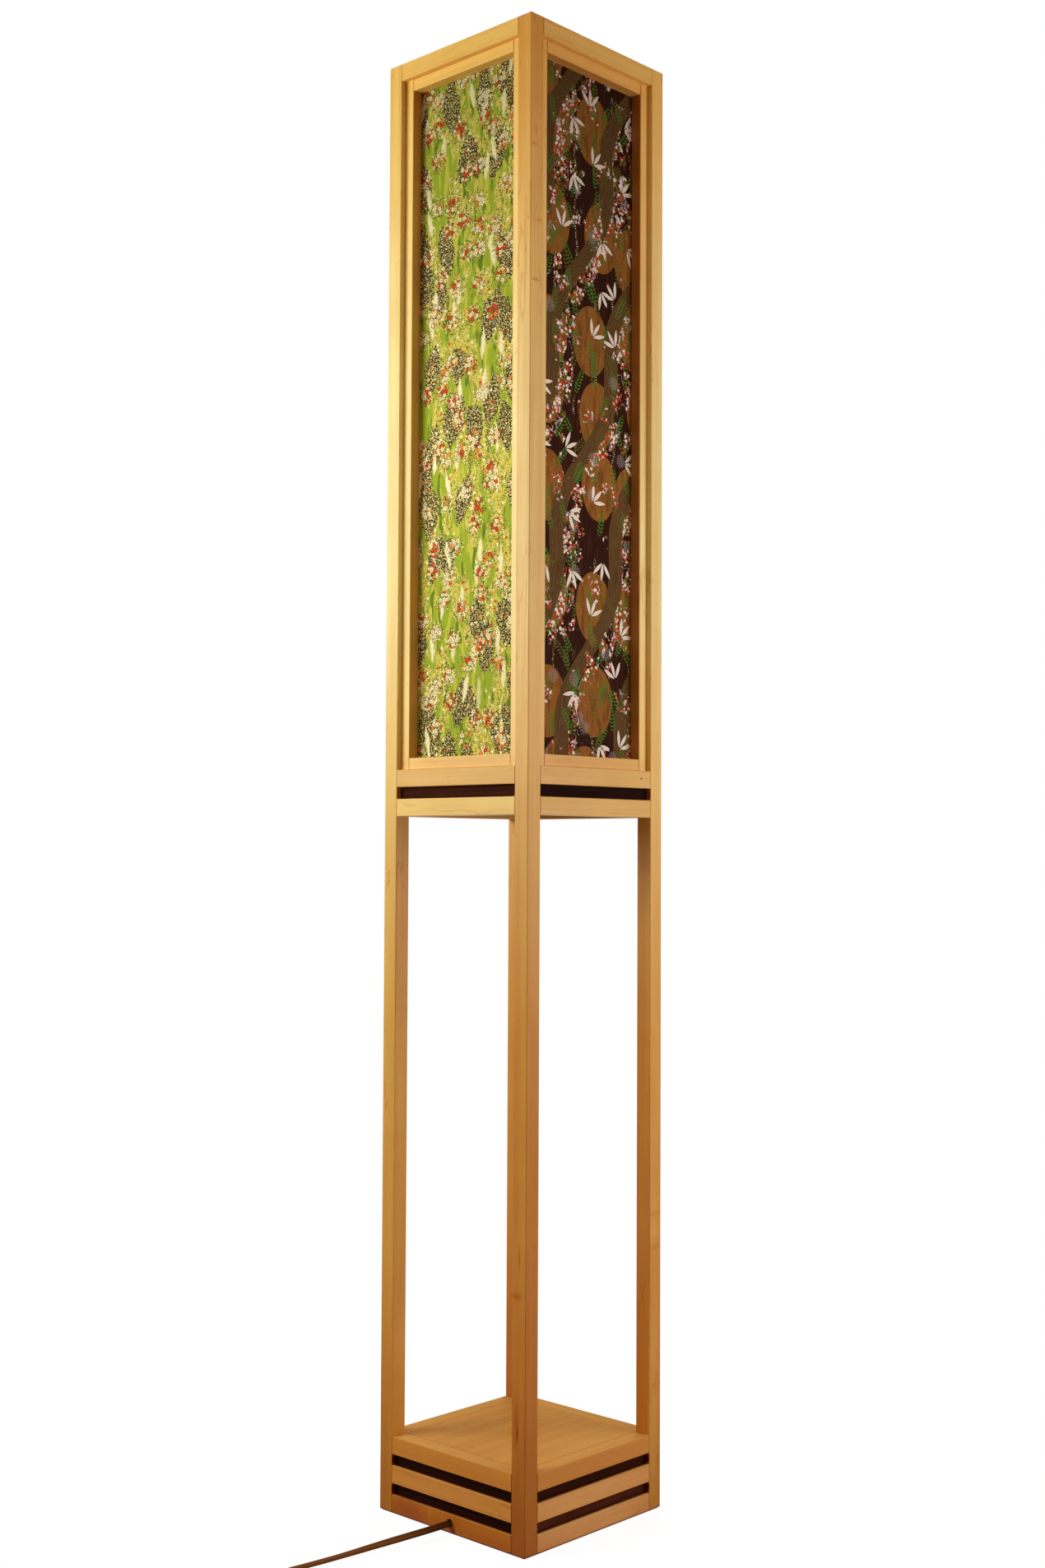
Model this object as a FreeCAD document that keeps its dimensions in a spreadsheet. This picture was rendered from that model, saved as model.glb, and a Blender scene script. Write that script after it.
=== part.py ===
import FreeCAD, Part
import math
import os
import re
import Sketcher
from types import SimpleNamespace

# Andon floor lamp in millimetres.
# Origin at the middle of the base on the floor, +Z up, the front is -Y.
# Posts and rails are square sticks, panels are thinner frames with printed paper on their backs.

doc = FreeCAD.newDocument("AndonFloorLamp")
sheet = doc.addObject("Spreadsheet::Sheet", "Sizes")

sizes = {
    # frame of posts and rails
    "lampWidth": 216.0,
    "lampHeight": 1588.0,
    "stick": 19.0,
    "easedEdge": 0.6,
    "tenonLength": 6.0,
    "tenonThick": 5.0,
    "tenonShoulder": 3.0,
    "mortiseClear": 0.1,
    "overrun": 2.0,
    # levels of the base and of the light box
    "feltThick": 1.2,
    "feltInset": 2.0,
    "baseSlot": 12.0,
    "lightBoxLow": 752.6,
    "middleSlot": 13.0,
    # panels
    "panelStick": 12.7,
    "panelTenon": 5.0,
    "panelTenonThick": 4.0,
    "panelTenonShoulder": 2.0,
    "paperThick": 0.5,
    "paperLap": 4.5,
    "panelGap": 0.5,
    "panelSeatGap": 0.2,
    # stops and magnets of the lift-out panel
    "stopLength": 90.0,
    "stopThick": 6.0,
    "stopOnRail": 11.0,
    "stopOnPanel": 7.0,
    "magnetRadius": 2.5,
    "magnetDepth": 3.0,
    "strikeDepth": 2.0,
    "magnetFit": 0.05,
    "magnetEdge": 3.8,
    "magnetSpread": 60.0,
    # boards, cleats and screws
    "floorBoardThick": 4.8,
    "boardThick": 6.3,
    "boardGap": 0.25,
    "cleatSize": 9.4,
    "cleatLength": 120.0,
    "screwHeadRadius": 3.4,
    "screwHeadHeight": 2.6,
    "screwShankRadius": 1.7,
    "screwTipRadius": 0.9,
    "screwLength": 13.0,
    "screwFit": 0.05,
    "screwSpread": 84.0,
    "screwSlotWidth": 0.8,
    "screwSlotDepth": 0.9,
    # ballast
    "ballastThick": 12.0,
    "ballastGap": 5.6,
    "ballastFront": 43.0,
    "ballastRear": 11.0,
    "ballastCorner": 8.0,
    # way for the lead in the rear left post
    "wireway": 6.0,
    "wirewayCover": 1.2,
    "wirewayFit": 0.1,
    "wirewayNotch": 7.0,
    "leadDiameter": 4.2,
    # lamp pipe and holder
    "pipeRadius": 4.95,
    "pipeBoreRadius": 3.3,
    "pipeLength": 300.0,
    "pipeBelow": 7.0,
    "pipeFit": 0.1,
    "pipeEntryDrop": 12.0,
    "nutThick": 4.0,
    "nutRadius": 8.1,
    "capNeckRadius": 7.5,
    "capNeckHeight": 5.0,
    "capShoulderHeight": 12.0,
    "capRadius": 17.4,
    "capHeight": 19.0,
    "shellWall": 0.8,
    "shellRadius": 16.4,
    "shellLength": 38.0,
    "shellGap": 0.2,
    "beadOut": 0.9,
    "insertRadius": 15.3,
    "insertBore": 13.5,
    "insertLength": 30.0,
    "insertFloor": 5.0,
    "contactRadius": 3.0,
    "contactThick": 1.5,
    # bulb
    "bulbCapRadius": 13.1,
    "bulbCapLength": 24.0,
    "bulbTipRadius": 4.6,
    "bulbTipLength": 2.5,
    "bulbConeLength": 4.0,
    "bulbRadius": 30.0,
    "bulbLength": 78.0,
    "bulbNeckRadius": 13.1,
    # cord outside the lamp
    "cordDiameter": 7.6,
    "cordHoleRadius": 4.75,
    "floorGap": 0.1,
    "coilRadius": 51.6,
    "coilPitch": 8.2,
    "coilLayer": 8.1,
    "coilHalfTurns": 11,
    "coilClimbIn": 1.6,
    "coilLeadIn": 24.0,
    # places on the floor: bends of the cord, the switch and the plug
    "cordExitOut": 12.0,
    "cordSagX": -12.0,
    "cordSagOut": 68.0,
    "cordSagZ": 8.2,
    "cordLandX": -31.0,
    "cordLandOut": 124.0,
    "cordRestX": -36.0,
    "cordRestOut": 170.0,
    "cordLastRun": 24.0,
    "switchEntryX": -21.0,
    "switchEntryOut": 219.0,
    "switchHeading": -70.0,
    "plugFromCoilX": 24.0,
    "plugFromCoilY": 57.0,
    "plugHeading": 130.0,
    # clamp and wire connectors
    "clampWidth": 24.0,
    "clampDepth": 8.0,
    "clampRise": 5.0,
    "clampBack": 9.0,
    "clampFit": 0.1,
    "clampScrewSpread": 17.0,
    "clampScrewRadius": 1.3,
    "clampScrewHeadRadius": 2.2,
    "clampScrewHeadHeight": 1.4,
    "clampScrewBite": 3.6,
    "cordTail": 12.0,
    "connectorMouth": 5.5,
    "connectorTip": 3.6,
    "connectorLength": 15.0,
    "connectorSpread": 12.0,
    "connectorGap": 0.3,
    # switch on the cord
    "switchLength": 62.0,
    "switchWidth": 24.0,
    "switchEndWidth": 13.0,
    "switchHeight": 15.0,
    "switchTaper": 17.0,
    "switchRound": 2.0,
    "wheelRadius": 13.8,
    "wheelThick": 4.6,
    "wheelGap": 0.3,
    "wheelGrooves": 28,
    "wheelGrooveRadius": 0.6,
    "wheelBoreFit": 0.08,
    "switchScrewRadius": 1.6,
    "switchScrewHeadRadius": 3.0,
    "switchScrewHeadHeight": 2.0,
    # plug
    "plugNeckLength": 22.0,
    "plugNeckRadius": 4.8,
    "plugLength": 30.0,
    "plugWidth": 26.0,
    "plugWaist": 21.0,
    "plugBackWidth": 17.0,
    "plugHeight": 14.6,
    "plugRound": 1.6,
    "bladeLength": 17.5,
    "bladeWidth": 6.3,
    "bladeThick": 1.5,
    "bladeSpread": 12.7,
    "bladeSunk": 3.0,
    "bladeWide": 7.9,
    "bladeHoleRadius": 1.6,
}

for row, (name, value) in enumerate(sizes.items(), start=1):
    sheet.set("A" + str(row), name)
    sheet.set("B" + str(row), str(value))
    sheet.setAlias("B" + str(row), name)
doc.recompute()
s = SimpleNamespace(**sizes)

# places that several pieces share, as expressions of the sheet's names
insideHalf = "(lampWidth / 2 - stick)"
insideWidth = "(lampWidth - 2 * stick)"
baseHigh = "(feltThick + 3 * stick + 2 * baseSlot)"
mainRailLow = "(lightBoxLow + stick + middleSlot)"
panelLow = "(lightBoxLow + 2 * stick + middleSlot)"
panelHigh = "(lampHeight - stick)"
floorBoardHigh = "(feltThick + floorBoardThick)"
cordHoleHeight = "(feltThick + stick / 2)"

sides = {"front": 0, "right": 90, "rear": 180, "left": 270}
corners = {"front_right": 0, "rear_right": 90, "rear_left": 180, "front_left": 270}
alongShare = 0.99
nearlyNone = 1e-9
nodes = []


def bound(text):
    """The expression with each of the sheet's names pointed at its cell."""
    return re.sub(r"[A-Za-z]\w*", lambda found: "Sizes." + found.group(), text)


def bind(thing, **expressions):
    for name, text in expressions.items():
        thing.setExpression(name.replace("_", "."), bound(text))
    return thing


def newBody(label, turn=0):
    body = doc.addObject("PartDesign::Body", label)
    body.Label = label
    body.Placement = FreeCAD.Placement(FreeCAD.Vector(), FreeCAD.Rotation(FreeCAD.Vector(0, 0, 1), turn))
    return body


def block(body, kind, name, corner, extent):
    """A box added to or cut from the body, by its lowest corner and its size."""
    box = body.newObject("PartDesign::" + kind + "Box", name)
    bind(box, Length=extent[0], Width=extent[1], Height=extent[2])
    bind(box, Placement_Base_x=corner[0], Placement_Base_y=corner[1], Placement_Base_z=corner[2])
    return box


def drill(body, name, radius, depth, start, axis="z"):
    """A round hole cut from the body, from its start along X, Y or Z."""
    hole = body.newObject("PartDesign::SubtractiveCylinder", name)
    turns = {"x": ((0, 1, 0), 90), "y": ((1, 0, 0), -90), "z": ((0, 0, 1), 0)}
    direction, angle = turns[axis]
    hole.Placement = FreeCAD.Placement(FreeCAD.Vector(), FreeCAD.Rotation(FreeCAD.Vector(*direction), angle))
    bind(hole, Radius=radius, Height=depth)
    bind(hole, Placement_Base_x=start[0], Placement_Base_y=start[1], Placement_Base_z=start[2])
    return hole


def easeEdges(body, feature, axis=None):
    """Small chamfers on all of a box's edges, or on those along one axis."""
    feature.recompute()
    names = []
    for number, edge in enumerate(feature.Shape.Edges, start=1):
        direction = edge.Vertexes[1].Point - edge.Vertexes[0].Point
        if axis is None or abs(direction[axis]) > alongShare * direction.Length:
            names.append("Edge" + str(number))
    chamfer = body.newObject("PartDesign::Chamfer", "easedEdges")
    chamfer.Base = (feature, names)
    bind(chamfer, Size="easedEdge")
    return chamfer


def roundEdges(body, feature, radius, test):
    """Rounds the edges of a feature that pass the test."""
    doc.recompute([feature], True)
    names = ["Edge" + str(number) for number, edge in enumerate(feature.Shape.Edges, start=1) if test(edge)]
    fillet = body.newObject("PartDesign::Fillet", "roundedEdges")
    fillet.Base = (feature, names)
    bind(fillet, Radius=radius)
    return fillet


def keep(thing, label=None):
    """Marks an object as a sub-part that is written out under its label."""
    if label:
        thing.Label = label
    nodes.append(thing)
    return thing


def group(label, members):
    """Several separate solids of one kind, kept as one sub-part."""
    compound = doc.addObject("Part::Compound", label)
    compound.Links = members
    return keep(compound, label)


def sketchOn(body, name, role, offset="0"):
    """An empty sketch on one of the body's own origin planes, moved along its normal."""
    sketch = body.newObject("Sketcher::SketchObject", name)
    plane = next(feature for feature in body.Origin.OriginFeatures if feature.Role == role)
    sketch.AttachmentSupport = [(plane, "")]
    sketch.MapMode = "FlatFace"
    bind(sketch, AttachmentOffset_Base_z=offset)
    return sketch


def outline(sketch, points):
    """A closed outline of straight lines; each point is two expressions, and 0 is on an axis."""
    count = len(points)
    for number in range(count):
        start = FreeCAD.Vector(number, number * number, 0)
        end = FreeCAD.Vector(number + 1, (number + 1) * (number + 1), 0)
        sketch.addGeometry(Part.LineSegment(start, end), False)
    for number, (across, up) in enumerate(points):
        sketch.addConstraint(Sketcher.Constraint("Coincident", number, 2, (number + 1) % count, 1))
        for kind, axis, text in (("DistanceX", -2, across), ("DistanceY", -1, up)):
            if text == "0":
                sketch.addConstraint(Sketcher.Constraint("PointOnObject", number, 1, axis))
            else:
                index = sketch.addConstraint(Sketcher.Constraint(kind, -1, 1, number, 1, 1.0))
                sketch.setExpression("Constraints[" + str(index) + "]", bound(text))
    return sketch


def turned(label, profile, base="0"):
    """A turned piece: the profile of radius and height, revolved about Z."""
    body = newBody(label)
    bind(body, Placement_Base_z=base)
    sketch = outline(sketchOn(body, label + "_profile", "XZ_Plane"), profile)
    revolution = body.newObject("PartDesign::Revolution", label + "_turned")
    revolution.Profile = sketch
    revolution.ReferenceAxis = (sketch, ["V_Axis"])
    revolution.Angle = 360.0
    return body


def solid(label, shape):
    """A piece whose form neither sketches nor primitives give; its sizes come from the sheet."""
    feature = doc.addObject("Part::Feature", label)
    feature.Label = label
    feature.Shape = shape
    return keep(feature)


# Posts: full height, a mortise for each rail end that meets them
railLows = [
    "feltThick",
    "(feltThick + stick + baseSlot)",
    "(feltThick + 2 * (stick + baseSlot))",
    "lightBoxLow",
    mainRailLow,
    panelHigh,
]
mortiseDepth = "(tenonLength + mortiseClear + overrun)"
mortiseWide = "(tenonThick + 2 * mortiseClear)"
mortiseHigh = "(stick - 2 * tenonShoulder + 2 * mortiseClear)"
mortiseSide = "((stick - tenonThick) / 2 - mortiseClear)"
wirewayLow = "(feltThick + stick)"
for corner, turn in corners.items():
    post = newBody("post_" + corner, turn)
    length = block(post, "Additive", "length", (insideHalf, "-lampWidth / 2", "feltThick"),
                   ("stick", "stick", "lampHeight - feltThick"))
    easeEdges(post, length)
    for low in railLows:
        start = low + " + tenonShoulder - mortiseClear"
        block(post, "Subtractive", "mortiseAlongX",
              (insideHalf + " - overrun", "-lampWidth / 2 + " + mortiseSide, start),
              (mortiseDepth, mortiseWide, mortiseHigh))
        block(post, "Subtractive", "mortiseAlongY",
              (insideHalf + " + " + mortiseSide, "-" + insideHalf + " - tenonLength - mortiseClear", start),
              (mortiseWide, mortiseDepth, mortiseHigh))
    if corner == "rear_left":
        block(post, "Subtractive", "wireway",
              (insideHalf + " - overrun", "-" + insideHalf + " - wireway", wirewayLow),
              ("wireway + overrun", "wireway + overrun", mainRailLow + " - " + wirewayLow))
    keep(post)


# Rails: square sticks with a stub tenon on each end
def rail(label, turn, low):
    body = newBody(label, turn)
    length = block(body, "Additive", "length", ("-" + insideHalf, "-lampWidth / 2", low),
                   (insideWidth, "stick", "stick"))
    easeEdges(body, length, axis=0)
    block(body, "Additive", "tenons",
          ("-" + insideHalf + " - tenonLength", "(tenonThick - lampWidth) / 2 + stick / 2 - tenonThick",
           low + " + tenonShoulder"),
          (insideWidth + " + 2 * tenonLength", "tenonThick", "stick - 2 * tenonShoulder"))
    return body


for side, turn in sides.items():
    keep(rail("lower_rail_" + side, turn, railLows[3]))
    keep(rail("main_rail_" + side, turn, railLows[4]))
    keep(rail("top_rail_" + side, turn, railLows[5]))

cordRail = rail("base_cord_rail", sides["front"], railLows[0])
drill(cordRail, "cordHole", "cordHoleRadius", "stick + 2 * overrun",
      ("0", "-lampWidth / 2 - overrun", cordHoleHeight), axis="y")
keep(cordRail)
bottomRails = [rail("base_bottom_" + side, sides[side], railLows[0]) for side in ("right", "rear", "left")]
middleRails = [rail("base_middle_" + side, turn, railLows[1]) for side, turn in sides.items()]
upperRails = [rail("base_upper_" + side, turn, railLows[2]) for side, turn in sides.items()]
group("base_bottom_rails", bottomRails)
group("base_middle_rails", middleRails)
group("base_upper_rails", upperRails)


# Dark spacers behind the slots, flush with the inner faces; two of the rear ones leave room for the lead
def spacer(label, turn, low, high, notched):
    length = insideWidth + (" - wirewayNotch" if notched else "")
    body = newBody(label, turn)
    block(body, "Additive", "length", ("-" + insideHalf, "-" + insideHalf + " - panelStick", low),
          (length, "panelStick", high))
    return body


spacers = []
for side, turn in sides.items():
    atWireway = side == "rear"
    spacers.append(spacer("spacer_low_" + side, turn, wirewayLow, "baseSlot", atWireway))
    spacers.append(spacer("spacer_high_" + side, turn, "(feltThick + 2 * stick + baseSlot)",
                          "baseSlot", False))
    spacers.append(spacer("spacer_middle_" + side, turn, "(lightBoxLow + stick)",
                          "middleSlot", atWireway))
group("slot_spacers", spacers)


# Panels: two stiles and two rails, flush with the inner faces, with the paper glued on the back
def panelSticks(side, turn, gap, shift):
    back = "(-" + insideHalf + " - " + shift + ")"
    face = back + " - panelStick"
    high = "(" + panelHigh + " - " + panelLow + " - " + gap + ")"
    half = "(" + insideHalf + " - " + gap + ")"
    between = "(2 * " + half + " - 2 * panelStick)"
    railPlaces = [panelLow, "(" + panelLow + " + " + high + " - panelStick)"]
    sticks = []
    for name, left in (("stile_left", "-" + half), ("stile_right", half + " - panelStick")):
        stile = newBody("panel_" + side + "_" + name, turn)
        length = block(stile, "Additive", "length", (left, face, panelLow), ("panelStick", "panelStick", high))
        easeEdges(stile, length, axis=2)
        inner = left + " + panelStick - panelTenon - mortiseClear" if name == "stile_left" else left + " - overrun"
        for low in railPlaces:
            block(stile, "Subtractive", "mortise",
                  (inner, face + " + (panelStick - panelTenonThick) / 2 - mortiseClear",
                   low + " + panelTenonShoulder - mortiseClear"),
                  ("panelTenon + mortiseClear + overrun", "panelTenonThick + 2 * mortiseClear",
                   "panelStick - 2 * panelTenonShoulder + 2 * mortiseClear"))
        sticks.append(stile)
    for name, low in zip(("rail_low", "rail_high"), railPlaces):
        cross = newBody("panel_" + side + "_" + name, turn)
        length = block(cross, "Additive", "length", ("-" + between + " / 2", face, low),
                       (between, "panelStick", "panelStick"))
        easeEdges(cross, length, axis=0)
        block(cross, "Additive", "tenons",
              ("-" + between + " / 2 - panelTenon", face + " + (panelStick - panelTenonThick) / 2",
               low + " + panelTenonShoulder"),
              (between + " + 2 * panelTenon", "panelTenonThick", "panelStick - 2 * panelTenonShoulder"))
        sticks.append(cross)
    paper = newBody("panel_paper_" + side, turn)
    block(paper, "Additive", "sheet",
          ("-" + between + " / 2 - paperLap", back, panelLow + " + panelStick - paperLap"),
          (between + " + 2 * paperLap", "paperThick", high + " - 2 * panelStick + 2 * paperLap"))
    keep(paper)
    return sticks


for side, turn in sides.items():
    if side == "rear":
        rearSticks = panelSticks(side, turn, "panelGap", "panelSeatGap")
    else:
        group("panel_frame_" + side, panelSticks(side, turn, "0", "0"))

# Lift-out rear panel: steel discs in the backs of its rails meet magnets in two stops on the lamp.
# These are drawn at the front and turned to the rear, as the sticks are.
stopTopLow = "(" + panelHigh + " - stopOnPanel)"
stopBottomLow = "(" + panelLow + " - stopOnRail)"
discHeights = {"rail_low": "(" + panelLow + " + magnetEdge)", "rail_high": "(" + panelHigh + " - magnetEdge)"}
magnetPlaces = ["-magnetSpread / 2", "magnetSpread / 2"]
discs = []
magnets = []
stops = []


def disc(label, across, start, height, thick, fit):
    """A round disc lying in a hole that opens towards the rear panel or towards the lamp."""
    piece = doc.addObject("Part::Cylinder", label)
    bind(piece, Radius="magnetRadius - " + fit, Height=thick)
    piece.Placement = FreeCAD.Placement(FreeCAD.Vector(), FreeCAD.Rotation(FreeCAD.Vector(1, 0, 0), -90))
    bind(piece, Placement_Base_x=across, Placement_Base_y=start, Placement_Base_z=height)
    return piece


for stick in rearSticks[2:]:
    height = discHeights[stick.Label.replace("panel_rear_", "")]
    for across in magnetPlaces:
        drill(stick, "discHole", "magnetRadius", "strikeDepth + overrun",
              (across, "-" + insideHalf + " - panelSeatGap - strikeDepth", height), axis="y")
        discs.append(disc("strike_disc", across, insideHalf + " + panelSeatGap", height,
                          "strikeDepth", "magnetFit"))
for name, low, height in (("stop_top", stopTopLow, discHeights["rail_high"]),
                          ("stop_bottom", stopBottomLow, discHeights["rail_low"])):
    stop = newBody(name, sides["rear"])
    length = block(stop, "Additive", "length", ("-stopLength / 2", "-" + insideHalf, low),
                   ("stopLength", "stopThick", "stopOnRail + stopOnPanel"))
    easeEdges(stop, length, axis=0)
    for across in magnetPlaces:
        drill(stop, "magnetHole", "magnetRadius", "magnetDepth + overrun",
              (across, "-" + insideHalf + " - overrun", height), axis="y")
        magnets.append(disc("magnet", across, insideHalf + " - magnetDepth", height,
                            "magnetDepth", "magnetFit"))
    stops.append(stop)
group("panel_frame_rear", rearSticks)
group("strike_discs", discs)
group("stop_cleats", stops)
group("panel_magnets", magnets)


# Boards that close the base and the light box, on cleats glued to the rails
def board(label, low, thick):
    body = newBody(label)
    half = "(" + insideHalf + " - boardGap)"
    block(body, "Additive", "board", ("-" + half, "-" + half, low), ("2 * " + half, "2 * " + half, thick))
    return body


def screwHole(body, across, along, head, direction):
    """A countersunk hole from the head's face, down or up."""
    lowest = head + " - screwLength" if direction < 0 else head
    drill(body, "screwHole", "screwShankRadius + screwFit", "screwLength", (across, along, lowest))


def screwAt(label, profile, across, along, head, pointsDown):
    """A slotted screw turned from its profile, with its head's face at the given place."""
    screw = turned(label, profile)
    screw.Placement = FreeCAD.Placement(FreeCAD.Vector(),
                                        FreeCAD.Rotation(FreeCAD.Vector(1, 0, 0), 180 if pointsDown else 0))
    bind(screw, Placement_Base_x=across, Placement_Base_y=along, Placement_Base_z=head)
    block(screw, "Subtractive", "slot", ("-screwHeadRadius", "-screwSlotWidth / 2", "-overrun"),
          ("2 * screwHeadRadius", "screwSlotWidth", "overrun + screwSlotDepth"))
    return screw


def countersink(body, across, along, head, direction):
    """The cone that takes a screw's head, in the board's face."""
    cone = body.newObject("PartDesign::SubtractiveCone", "countersink")
    wide, narrow = "screwHeadRadius + screwFit", "screwShankRadius + screwFit"
    bind(cone, Radius1=wide if direction > 0 else narrow, Radius2=narrow if direction > 0 else wide,
         Height="screwHeadHeight")
    start = head if direction > 0 else head + " - screwHeadHeight"
    bind(cone, Placement_Base_x=across, Placement_Base_y=along, Placement_Base_z=start)


floorBoard = board("base_floor_board", "feltThick", "floorBoardThick")
topBoard = board("base_top_board", baseHigh + " - boardThick", "boardThick")
lampBoard = board("lamp_board", mainRailLow, "boardThick")
drill(lampBoard, "pipeHole", "pipeRadius + pipeFit", "boardThick + 2 * overrun",
      ("0", "0", mainRailLow + " - overrun"))
cleats = []
cleatInset = "(" + insideHalf + " - cleatSize / 2)"
for side in ("right", "left"):
    for name, low in (("floor", floorBoardHigh), ("top", "(" + baseHigh + " - boardThick - cleatSize)"),
                      ("lamp", "(" + mainRailLow + " - cleatSize)")):
        cleat = newBody("cleat_" + name + "_" + side, sides[side])
        block(cleat, "Additive", "length", ("-cleatLength / 2", "-" + insideHalf, low),
              ("cleatLength", "cleatSize", "cleatSize"))
        for across in ("-screwSpread / 2", "screwSpread / 2"):
            if name == "floor":
                screwHole(cleat, across, "-" + cleatInset, "feltThick", 1)
            if name == "lamp":
                screwHole(cleat, across, "-" + cleatInset, mainRailLow + " + boardThick", -1)
        cleats.append(cleat)
screws = []
lampBoardHigh = mainRailLow + " + boardThick"
boardScrewProfile = [
    ("0", "0"),
    ("screwHeadRadius", "0"),
    ("screwShankRadius", "screwHeadHeight"),
    ("screwShankRadius", "screwLength - screwHeadHeight"),
    ("screwTipRadius", "screwLength"),
    ("0", "screwLength"),
]
for across in ("-" + cleatInset, cleatInset):
    for along in ("-screwSpread / 2", "screwSpread / 2"):
        for holed, head, direction in ((floorBoard, "feltThick", 1), (lampBoard, lampBoardHigh, -1)):
            screwHole(holed, across, along, head, direction)
            countersink(holed, across, along, head, direction)
            screws.append(screwAt("board_screw", boardScrewProfile, across, along, head, direction < 0))

# Ballast bedded on the floor board, felt under the whole base
ballast = newBody("ballast_plate")
plate = block(ballast, "Additive", "plate",
              ("-" + insideHalf + " + cleatSize + ballastGap", "-" + insideHalf + " + ballastFront", floorBoardHigh),
              (insideWidth + " - 2 * (cleatSize + ballastGap)", insideWidth + " - ballastFront - ballastRear",
               "ballastThick"))
roundEdges(ballast, plate, "ballastCorner",
           lambda edge: abs(edge.Vertexes[1].Z - edge.Vertexes[0].Z) > s.easedEdge)
felt = newBody("base_felt")
block(felt, "Additive", "felt", ("-lampWidth / 2 + feltInset", "-lampWidth / 2 + feltInset", "0"),
      ("lampWidth - 2 * feltInset", "lampWidth - 2 * feltInset", "feltThick"))

# Clamp over the cord behind its hole, and two connectors where the cord meets the lead
cordPlace = s.feltThick + s.stick / 2
floorTop = s.feltThick + s.floorBoardThick
clampPlace = "(" + insideHalf + " - clampBack)"
clamp = newBody("cord_clamp")
saddle = block(clamp, "Additive", "saddle",
               ("-clampWidth / 2", "-" + clampPlace + " - clampDepth / 2", floorBoardHigh),
               ("clampWidth", "clampDepth", cordHoleHeight + " - " + floorBoardHigh + " + clampRise"))
easeEdges(clamp, saddle, axis=1)
drill(clamp, "cordTunnel", "cordDiameter / 2 + clampFit", "clampDepth + 2 * overrun",
      ("0", "-" + clampPlace + " - clampDepth / 2 - overrun", cordHoleHeight), axis="y")
clampHigh = "(" + cordHoleHeight + " + clampRise)"
clampScrewEnd = "(" + clampHigh + " - " + floorBoardHigh + " + clampScrewBite + clampScrewHeadHeight)"
clampScrewProfile = [
    ("0", "0"),
    ("clampScrewHeadRadius - clampScrewHeadHeight / 2", "0"),
    ("clampScrewHeadRadius", "clampScrewHeadHeight / 2"),
    ("clampScrewHeadRadius", "clampScrewHeadHeight"),
    ("clampScrewRadius", "clampScrewHeadHeight"),
    ("clampScrewRadius", clampScrewEnd),
    ("0", clampScrewEnd),
]
clampScrews = []
for across in ("-clampScrewSpread / 2", "clampScrewSpread / 2"):
    place = (across, "-" + clampPlace)
    drill(clamp, "screwHole", "clampScrewRadius + screwFit", "stick", (*place, "feltThick"))
    drill(floorBoard, "clampScrewHole", "clampScrewRadius + screwFit", "clampScrewBite + overrun",
          (*place, floorBoardHigh + " - clampScrewBite"))
    screw = turned("clamp_screw", clampScrewProfile)
    screw.Placement = FreeCAD.Placement(FreeCAD.Vector(), FreeCAD.Rotation(FreeCAD.Vector(1, 0, 0), 180))
    bind(screw, Placement_Base_x=across, Placement_Base_y="-" + clampPlace,
         Placement_Base_z=clampHigh + " + clampScrewHeadHeight")
    clampScrews.append(screw)
connectors = []
tailEnd = s.lampWidth / 2 - s.stick - s.clampBack - s.clampDepth / 2 - s.cordTail
for across in ("-connectorSpread / 2", "connectorSpread / 2"):
    cone = doc.addObject("Part::Cone", "wire_connector")
    cone.Placement = FreeCAD.Placement(FreeCAD.Vector(), FreeCAD.Rotation(FreeCAD.Vector(1, 0, 0), -90))
    bind(cone, Radius1="connectorMouth", Radius2="connectorTip", Height="connectorLength", Placement_Base_x=across,
         Placement_Base_y="connectorGap + cordTail + clampDepth / 2 - " + clampPlace,
         Placement_Base_z=floorBoardHigh + " + connectorMouth")
    connectors.append(cone)
for piece in (floorBoard, topBoard, lampBoard, ballast, felt, clamp):
    keep(piece)
group("board_cleats", cleats)
group("board_screws", screws)
group("clamp_screws", clampScrews)
group("wire_connectors", connectors)


# Wireway strip: closes the rebate in the rear left post's inner corner
strip = newBody("wireway_strip", corners["rear_left"])
stripLow = railLows[1]
stripHigh = "(lightBoxLow + stick)"
block(strip, "Additive", "face", (insideHalf, "-" + insideHalf + " - wirewayCover", stripLow),
      ("wireway - wirewayFit", "wirewayCover", stripHigh + " - " + stripLow))
block(strip, "Additive", "lip", (insideHalf, "-" + insideHalf + " - wireway + wirewayFit", stripLow),
      ("wirewayCover", "wireway - wirewayFit", stripHigh + " - " + stripLow))
keep(strip)


# Lamp pipe with its nuts, and the holder on top of it
pipeLow = s.lightBoxLow + s.stick + s.middleSlot - s.pipeBelow
pipeLowText = "(" + mainRailLow + " - pipeBelow)"
holderLowText = "(" + pipeLowText + " + pipeLength - capNeckHeight)"
pipe = turned("lamp_pipe", [("pipeBoreRadius", "0"), ("pipeRadius", "0"), ("pipeRadius", "pipeLength"),
                            ("pipeBoreRadius", "pipeLength")], pipeLowText)
keep(pipe)
nuts = []
for name, low in (("low", "(" + mainRailLow + " - nutThick)"), ("high", "(" + mainRailLow + " + boardThick)")):
    hexagon = doc.addObject("Part::Prism", "nut_" + name + "_hexagon")
    hexagon.Polygon = 6
    bind(hexagon, Circumradius="nutRadius", Height="nutThick", Placement_Base_z=low)
    bore = doc.addObject("Part::Cylinder", "nut_" + name + "_bore")
    bind(bore, Radius="pipeRadius + pipeFit / 2", Height="nutThick + 2 * overrun",
         Placement_Base_z=low + " - overrun")
    nut = doc.addObject("Part::Cut", "nut_" + name)
    nut.Base = hexagon
    nut.Tool = bore
    nuts.append(nut)
group("pipe_nuts", nuts)
capWallRadius = "(capRadius - shellWall)"
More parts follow.
